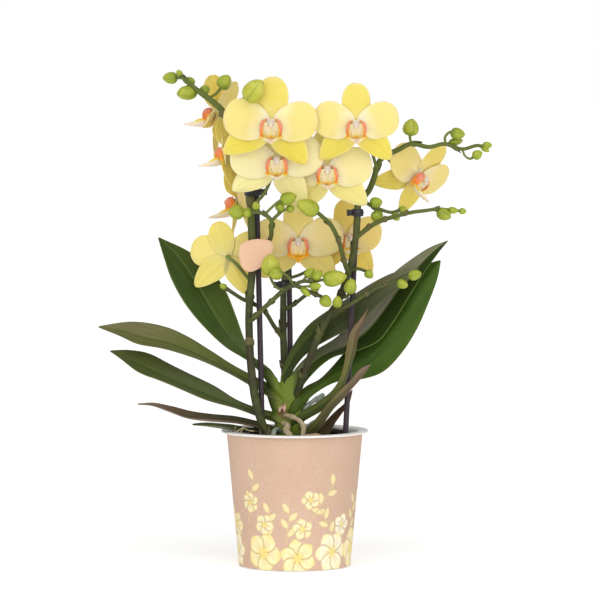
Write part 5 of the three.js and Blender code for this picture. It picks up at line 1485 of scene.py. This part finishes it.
def makeTag():
    outline = np.array([(x, 0, z) for x, z in tag["outline"]], float)
    wrapped = np.vstack([outline[-2:], outline, outline[:2]])
    count = tag["count"]
    t = np.linspace(2, 2 + len(outline), count, endpoint=False) / (len(wrapped) - 1)
    loop = curveAt(wrapped, t)[:, [0, 2]]
    middle = loop.mean(0)
    rings = []
    for shrink, depth in tag["rings"] + [(shrink, 1 - depth) for shrink, depth in tag["rings"][-2::-1]]:
        flat = middle + (loop - middle) * shrink
        y = tag["front"] + (tag["back"] - tag["front"]) * depth - tag["dish"] * shrink ** 2
        rings.append(np.stack([flat[:, 0], np.full(count, y), flat[:, 1]], 1))
    caps = [tuple(range(ring * count, (ring + 1) * count)) for ring in (0, len(rings) - 1)]
    plate = (np.vstack(rings), ringFaces(len(rings), count) + caps, {})
    x, y = tag["jawMiddle"]
    inner, height, tall = tag["jawInner"], tag["jawHeight"], tag["jawTall"]
    outer = inner + tag["jawWall"]
    turns = np.radians(np.linspace(tag["jawFrom"], tag["jawTo"], 25))
    section = [(inner, -tall / 2), (inner, tall / 2), (outer, tall / 2), (outer, -tall / 2)]
    band = [(x + r * math.cos(a), y + r * math.sin(a), height + z) for a in turns for r, z in section]
    jawFaces = ringFaces(len(turns), 4) + [(3, 2, 1, 0), tuple(range(len(band) - 4, len(band)))]
    gap = y - inner - tag["back"]
    neckAt = (x + tag["neckShift"], tag["back"] + gap / 2 - 0.2, height)
    neck = roundedBlock(neckAt, (tag["neckWidth"], gap, tall), tag["neckRound"], 0)
    whole = joined([plate, (np.array(band), jawFaces, {}), neck])
    makePiece("tag_card", whole, tagMaterial(), ["blank_tag"])


makeSticks()
makeClips()
makeTag()
print("sticks, clips and tag made")


# Blooms: five tepals round a small boss, and in front of them the lip and column
# In its own frame a bloom faces +Z with its upper sepal towards +Y

# what a bloom has unless its own values say otherwise: turn, tilt and roll in degrees, size, the directions
# of its tepals (upper sepal, right and left petal, right and left lower sepal), how far each leans forwards
# and is twisted, then how much painted shade tints it ochre, its paleness (partly its own creamier tone,
# partly painted light that lifts the shadow of the blooms in front) and how warm its lip's front lobe is
plainBloom = dict(
    turn=0, tilt=0, roll=0, size=1.0, angles=(90, 10, 170, -44, -136), leans=(0,) * 5, twists=(0,) * 5,
    shade=0.0, pale=0.0, warm=0,
)
bloomForms = {
    "bloom_top_left": dict(centre=(-16.5, -49, 315), tilt=8, size=1.1, angles=(87, 4, 171, -47, -150)),
    "bloom_below_top_left": dict(
        centre=(-12.5, -34, 288), tilt=5, size=1.08, angles=(88, 12, 173, -57, -149), pale=0.9,
    ),
    "bloom_top_right": dict(centre=(43, -44, 314.5), tilt=12, pale=0.05),
    "bloom_below_top_right": dict(
        centre=(23, -26.5, 281.5), tilt=6, size=1.06, angles=(90, 9, 170, -39, -132), pale=0.55,
    ),
    "bloom_centre_low": dict(centre=(2.5, -2, 230.5), tilt=12, size=1.05, warm=0.38, shade=0.35, pale=0.5),
    "bloom_behind_right": dict(centre=(36.5, 14, 232), turn=25, tilt=4, size=0.95, shade=0.6, pale=0.2),
    "bloom_seen_from_back": dict(
        centre=(-47.3, -5, 220.6), turn=180, roll=-14, size=0.88, angles=(86, 26, 172, -26, -106),
        shade=0.2, pale=0.15,
    ),
    "bloom_far_right": dict(
        centre=(87.9, 12, 277), turn=40, tilt=32, roll=-36, size=0.98, angles=(92, 24, 182, -48, -128),
        leans=(0, 0, -14, 0, -10), twists=(0, 0, 20, 0, 0), shade=0.3, pale=0.1,
    ),
    "bloom_left_profile_top": dict(
        centre=(-56.2, 22, 321), turn=-100, roll=22, size=0.95, angles=(70, -22, 103, -94, -120),
        leans=(10, 0, -26, -24, 8), twists=(-38, -35, 0, 50, 0), shade=0.4,
    ),
    "bloom_left_profile_middle": dict(
        centre=(-48, -6, 294.4), turn=-90, tilt=8, roll=22, size=0.88, angles=(73, -12, 183, -82, -147),
        leans=(0, 6, -30, 0, -20), twists=(-50, 0, 0, 40, 0), shade=0.4,
    ),
    "bloom_left_profile_low": dict(
        centre=(-41, 26, 258), turn=-85, tilt=10, roll=22, size=0.95, angles=(68, 3, 148, -62, -152),
        leans=(0, -12, -20, 22, -10), twists=(-60, 0, 0, 0, 0), shade=0.3, pale=0.2,
    ),
}
blooms = {name: {**plainBloom, **form} for name, form in bloomForms.items()}

tepal = dict(
    rows=34, columns=22, thick=0.8, rim=0.4, wave=0.45, seed=31,
    petal=("#F7EFD8", "#F2E5B4", "#E8D486", "#E6D382", "#E7D28E"),
    sepal=("#E7DC92", "#E2D26A", "#DCCA50", "#DACA50", "#DCCB66"),
    # shade is the ochre of painted shade; pale is the cream that blooms are lifted towards, partly painted
    # light
    margin="#F3D7A6", shade="#D6A63E", back="#E0D272", vein="#E0C868", pale="#F8EDC2",
)
# the outline of each kind: length, half width, where it is widest, how square it is, width at its foot, then
# its lift, curl and cup, how lopsided and bent it is, the fold along its middle, and its greenness
tepalForms = {
    "upperSepal": dict(
        length=30, halfWidth=10, widest=0.55, square=2.1, foot=0.42, lift=-0.5, curl=-2, cup=-1,
        lean=0.0, bend=0.0, fold=0.5, green=0.7,
    ),
    "petal": dict(
        length=30.5, halfWidth=12.9, widest=0.56, square=2.2, foot=0.3, lift=0.9, curl=-1.6, cup=-1.2,
        lean=0.05, bend=0.8, fold=-0.3, green=0.0,
    ),
    "lowerSepal": dict(
        length=34.8, halfWidth=9.6, widest=0.42, square=1.6, foot=0.3, lift=-0.5, curl=-2.4, cup=-1,
        lean=0.08, bend=-1.0, fold=0.9, green=1.0,
    ),
}
tepalOrder = (("upperSepal", 1), ("petal", 1), ("petal", -1), ("lowerSepal", 1), ("lowerSepal", -1))


def tepalMaterial():
    # fresh petal: thin moist tissue, a satin velvet surface that lets light through, with fan veins
    material, add, shader, place, *given = startMaterial("satinPetalTissue", {
        "Roughness": 0.55, "IOR": 1.38, "Specular IOR Level": 0.35, "Subsurface Weight": 0.35,
        "Subsurface Scale": 0.0025, "Subsurface Radius": (1.0, 0.8, 0.25), "Sheen Weight": 0.12,
        "Sheen Roughness": 0.5,
    }, ("along", "across", "green", "tone", "inShade", "inside", "side", "pale"))
    along, across, green, tone, inShade, inside, side, pale = given
    cloud = add("TexNoise", {"Scale": 90, "Detail": 2}, {"Vector": place})
    drift = add("MapRange", fromNoise(-0.08, 0.08), {0: cloud})
    where = add("Math", clampedSum, {0: along, 1: drift})
    spots = (0.0, 0.22, 0.5, 0.85, 1.0)
    petals = add("ValToRGB", {"stops": list(zip(spots, tepal["petal"]))}, {0: where})
    sepals = add("ValToRGB", {"stops": list(zip(spots, tepal["sepal"]))}, {0: where})
    kind = add("Mix", {}, {0: green, 6: petals, 7: sepals})
    # the veins fan out from the foot about 1.5 mm apart, each 0.2 mm wide in life and drawn 0.5 mm wide
    fan = add("CombineXYZ", {}, {0: along, 1: across, 2: tone})
    spread = add("Mapping", {"Scale": (2, 11, 9)}, {"Vector": fan})
    veins = add("TexNoise", {"Scale": 1, "Detail": 3, "Roughness": 0.55}, {"Vector": spread})
    veinShare = add("MapRange", {1: 0.45, 2: 0.72, 4: 0.2}, {0: veins})
    veined = add("Mix", {7: tepal["vein"]}, {0: veinShare, 6: kind})
    edgeShare = add("MapRange", {**eased, 1: 1, 2: 0, 4: 0.35}, {0: inside})
    edged = add("Mix", {7: tepal["margin"]}, {0: edgeShare, 6: veined})
    behindShare = add("MapRange", {1: 0.5, 2: -1, 4: 0.55}, {0: side})
    backed = add("Mix", {7: tepal["back"]}, {0: behindShare, 6: edged})
    # paleness lifts a bloom towards cream: partly its own creamier tone, partly painted light lifting the
    # shadow of the blooms in front
    paleAndLitShare = add("Math", {"operation": "MULTIPLY", 1: 0.6}, {0: pale})
    paleAndLitPetal = add("Mix", {7: tepal["pale"]}, {0: paleAndLitShare, 6: backed})
    # painted shade: the bloom is tinted towards ochre as far as its shade value says
    paintedShadeShare = add("Math", {"operation": "MULTIPLY", 1: 0.6}, {0: inShade})
    paintedShadePetal = add("Mix", {7: tepal["shade"]}, {0: paintedShadeShare, 6: paleAndLitPetal})
    cells = add("TexNoise", {"Scale": 2200, "Detail": 1}, {"Vector": place})
    height = add("Mix", {"data_type": "FLOAT", 0: 0.25}, {2: veins, 3: cells})
    relief = add("Bump", {"Strength": 0.22}, {"Height": height})
    feed(shader, {"Base Color": paintedShadePetal, "Normal": relief})
    return material


lip = dict(
    # the run of colours that the lip's parts take their place in
    hues=[(0, "#EDCFBE"), (0.14, "#EEE3C8"), (0.28, "#E6DE9E"), (0.42, "#F2C440"), (0.56, "#F0A02C"),
          (0.7, "#E87F40"), (0.84, "#E8937E"), (1, "#BC5A2C")],
    rows=26, columns=12, thick=0.9, rim=0.5,
)


def lipMaterial():
    # the lip's fleshy tissue: moister and glossier than the petals, in bands from cream to coral
    material, add, shader, place, hue = startMaterial("fleshyLipTissue", {
        "Roughness": 0.4, "IOR": 1.4, "Subsurface Weight": 0.35, "Subsurface Scale": 0.0015,
        "Subsurface Radius": (1.0, 0.5, 0.25), "Coat Weight": 0.1, "Coat Roughness": 0.3,
    }, ("hue",))
    cloud = add("TexNoise", {"Scale": 700, "Detail": 2}, {"Vector": place})
    drift = add("MapRange", fromNoise(-0.035, 0.035), {0: cloud})
    where = add("Math", clampedSum, {0: hue, 1: drift})
    colour = add("ValToRGB", {"stops": lip["hues"]}, {0: where})
    relief = add("Bump", {"Strength": 0.2, "Distance": 0.0003}, {"Height": cloud})
    feed(shader, {"Base Color": colour, "Normal": relief})
    return material


def spun(x, y, angle):  # a turn in the plane of x and y
    return x * np.cos(angle) - y * np.sin(angle), x * np.sin(angle) + y * np.cos(angle)


def tepalPart(form, flip, rng, *turns):
    angle, lean, twist = (math.radians(a) for a in turns)
    grow = 1 + rng.uniform(-0.02, 0.02)
    length, halfWidth = form["length"] * grow, form["halfWidth"] * grow
    skew = math.log(0.5) / math.log(form["widest"])
    phase = rng.uniform(0, 2 * math.pi, 3)
    reachFrom = 0.4

    def widthAt(t):
        oval = (1 - np.abs(2 * t ** skew - 1) ** form["square"]) ** (1 / form["square"])
        return halfWidth * np.maximum(oval, form["foot"] * (1 - t))

    def surface(u, v):
        t = np.clip(u * 0.995, 0, 0.9999)
        w = v * flip
        width = widthAt(t) * (1 + form["lean"] * w * smooth(t, 0.2, 0.7))
        reach = reachFrom + (length - reachFrom) * t
        height = form["lift"] + form["curl"] * t * t + form["cup"] * v * v * t
        height = height - form["fold"] * np.exp(-(v / 0.16) ** 2) * smooth(t, 0.05, 0.4) * (1 - 0.5 * t)
        edge = np.abs(v) ** 2.5 * smooth(t, 0.15, 0.6)
        height = height + tepal["wave"] * edge * np.sin(5.5 * t + phase[0] + 1.3 * w)
        height = height + 0.35 * np.sin(2.6 * v + phase[1]) * np.sin(3.1 * t + phase[2]) * t
        off = width * v + flip * form["bend"] * t * t
        rolled = twist * smooth(t, 0.0, 0.4)
        off, height = spun(off, height, rolled)
        reach, height = spun(reach, height, lean)
        return np.stack([*spun(reach, off, angle), height], -1)

    def thickness(u, v):
        return tepal["rim"] + (tepal["thick"] - tepal["rim"]) * (1 - v * v) * (1 - 0.5 * u)

    points, faces, fields = blade(surface, thickness, tepal["rows"], tepal["columns"])
    u, v = fields["along"], np.abs(fields["across"])
    toEdge = np.minimum((1 - v) * widthAt(np.clip(u, 0, 0.999)), (1 - u) * length)
    fields["inside"] = np.clip(toEdge / 1.8, 0, 1)
    return marked((points, faces, fields), green=form["green"], tone=rng.uniform(0, 1))


# the side lobes' back and front edges and the middle lobe's spine, in a plain bloom's own mm
lobeBack = [
    (2.6, 4.3, 2.6), (5.3, 3.2, 2.8), (6.7, 0.4, 3.0), (6.8, -3.0, 3.2), (6.0, -6.2, 3.6), (4.4, -8.2, 4.2),
]
lobeFront = [
    (2.6, 4.5, 4.2), (4.0, 3.4, 7.4), (4.9, 0.4, 9.2), (5.1, -3.0, 9.4), (4.9, -5.8, 8.2), (4.3, -8.1, 5.8),
]
middleSpine = [
    (0, -2.0, 4.5), (0, -7.0, 4.6), (0, -8.7, 7.5), (0, -9.1, 13.0), (0, -8.7, 19.0), (0, -7.6, 24.0),
]


def sideLobePart(side):  # stands up beside the column like a bracket and leans in at its front edge
    def surface(u, v):
        back = curveAt(lobeBack, u)
        front = curveAt(lobeFront, u)
        w = ((v + 1) / 2)[..., None]
        bulge = 0.7 * np.sin(np.pi * w) * np.sin(np.pi * u)[..., None] * np.array((1.0, 0.1, 0.7))
        return (back + (front - back) * w + bulge) * (side, 1, 1)

    def thick(u, v):
        return 0.5 + 0.5 * (1 - v * v) * np.sin(np.pi * np.clip(u, 0.08, 0.92))

    part = blade(surface, thick, lip["rows"], lip["columns"])
    u, v = part[2]["along"], part[2]["across"]
    hue = 0.85 - 0.15 * smooth(u, 0.35, 0.65) - 0.18 * smooth(u, 0.65, 1.0)
    hue = hue - 0.12 * smooth(-v, -0.2, 0.9) * smooth(u, 0.1, 0.5) - 0.2 * smooth(v, 0.72, 1)
    hue = hue + 0.03 * np.sin(9 * v + 4 * u)
    return marked(part, hue=np.clip(hue, 0.3, 0.95))


def middleLobePart(warm):
    def surface(u, v):
        t = np.clip(u * 0.985, 0, 1)
        width = 0.6 + 2.9 * (1 - t) + 5.4 * np.exp(-((t - 0.46) / 0.2) ** 2)
        middle = curveAt(middleSpine, t)
        rise = 3.2 * np.abs(v) ** 2 * np.sin(np.pi * t) + 0.3 * np.exp(-(v / 0.15) ** 2) * (1 - t)
        return middle + np.stack([width * v, rise, 0.4 * v * v], -1)

    def thick(u, v):
        return lip["rim"] + (lip["thick"] - lip["rim"]) * (1 - v * v)

    part = blade(surface, thick, lip["rows"] + 8, lip["columns"] + 4)
    u, v = part[2]["along"], part[2]["across"]
    wings = smooth(np.abs(v), 0.55, 1) * smooth(u, 0.2, 0.4) * (1 - smooth(u, 0.55, 0.8))
    hue = 0.52 - (0.44 - warm) * smooth(u, 0.18, 0.42) + (0.38 - 0.9 * warm) * wings
    return marked(part, hue=np.clip(hue, 0.03, 0.7))


def columnPart():
    body = sweep([(0, 0.8, 0.5), (0, 1.9, 3.5), (0, 2.5, 6.2), (0, 2.0, 8.0)], [2.2, 2.5, 2.5, 1.9], 22, 0.5)
    share = body[2]["share"]
    body = marked(body, hue=0.12 - 0.1 * smooth(share, 0.3, 0.9))
    cap = sweep([(0, 2.7, 7.0), (0, 2.1, 8.4), (0, 0.6, 9.0)], [1.6, 1.7, 1.0], 20, 0.4,
                lambda distance, turn: -0.12 * np.exp(-((turn - math.pi / 2) / 0.3) ** 2))
    cap = marked(cap, hue=0.03)

    def trough(u, v):  # the pale floor between the side lobes
        y = 2.6 - 10.4 * u
        z = 6.6 - 1.2 * u + 1.6 * v * v
        return np.stack([(3.2 + 1.8 * np.sin(np.pi * (0.1 + 0.8 * u))) * v, y, z], -1)

    floor = blade(trough, lambda u, v: np.full_like(u, 0.7), 18, 14)
    stripes = 0.035 * np.cos(7 * floor[2]["across"])
    floor = marked(floor, hue=0.2 + stripes + 0.2 * smooth(floor[2]["along"], 0.6, 1))
    parts = [body, cap, floor]
    hornRoute = np.array([(0.8, -7.0, 5.2), (1.1, -6.8, 7.4), (1.5, -6.0, 8.8)])
    dots = np.array([(3.6, -3.2, 7.2), (3.4, -4.4, 7.0), (3.1, -5.6, 6.8), (2.6, -6.6, 6.6)])
    for side in (-1, 1):  # the callus: two small horns, and red dots on each side of them
        parts.append(marked(sweep(hornRoute * (side, 1, 1), [0.9, 0.7, 0.3], 12, 0.4), hue=0.42))
        for i, dot in enumerate(dots * (side, 1, 1)):
            bead = sweep([dot + (0, 0, rise) for rise in (-0.2, 0, 0.2)], [0.24, 0.3, 0.22], 8, 0.3)
            parts.append(marked(bead, hue=0.9 - 0.08 * i))
    return joined(parts)


def bloomPlace(bloom):
    facing = turned(bloom["turn"], "Z") @ turned(90 + bloom["tilt"], "X") @ turned(bloom["roll"], "Z")
    return Matrix.Translation(bloom["centre"]) @ facing @ Matrix.Scale(bloom["size"], 4)


def makeBlooms():
    petalTissue, lipTissue = tepalMaterial(), lipMaterial()
    rng = np.random.default_rng(tepal["seed"])
    lipBodies = {}
    for warm in {bloom["warm"] for bloom in blooms.values()}:
        lipBodies[warm] = joined([sideLobePart(-1), sideLobePart(1), middleLobePart(warm), columnPart()])
    for name, bloom in blooms.items():
        boss = sweep([(0, 0, -2.4), (0, 0, -1.0), (0, 0, 1.0)], [1.8, 2.7, 3.0], 20, 0.5)
        parts = [marked(boss, green=0.8, along=0.02, inside=1, tone=0.5, side=0)]
        for (kind, flip), *turns in zip(tepalOrder, bloom["angles"], bloom["leans"], bloom["twists"]):
            parts.append(tepalPart(tepalForms[kind], flip, rng, *turns))
        place = bloomPlace(bloom)
        # inShade carries each bloom's painted shade, and pale its paleness, which is partly painted light
        tepals = marked(moved(joined(parts), place), inShade=bloom["shade"], pale=bloom["pale"])
        makePiece(name + "_tepals", tepals, petalTissue, [name])
        lipBody = moved(lipBodies[bloom["warm"]], place)
        makePiece(name + "_lip_and_column", lipBody, lipTissue, [name + "_lip"])


makeBlooms()
makeSpikes()
print("blooms and spikes made")
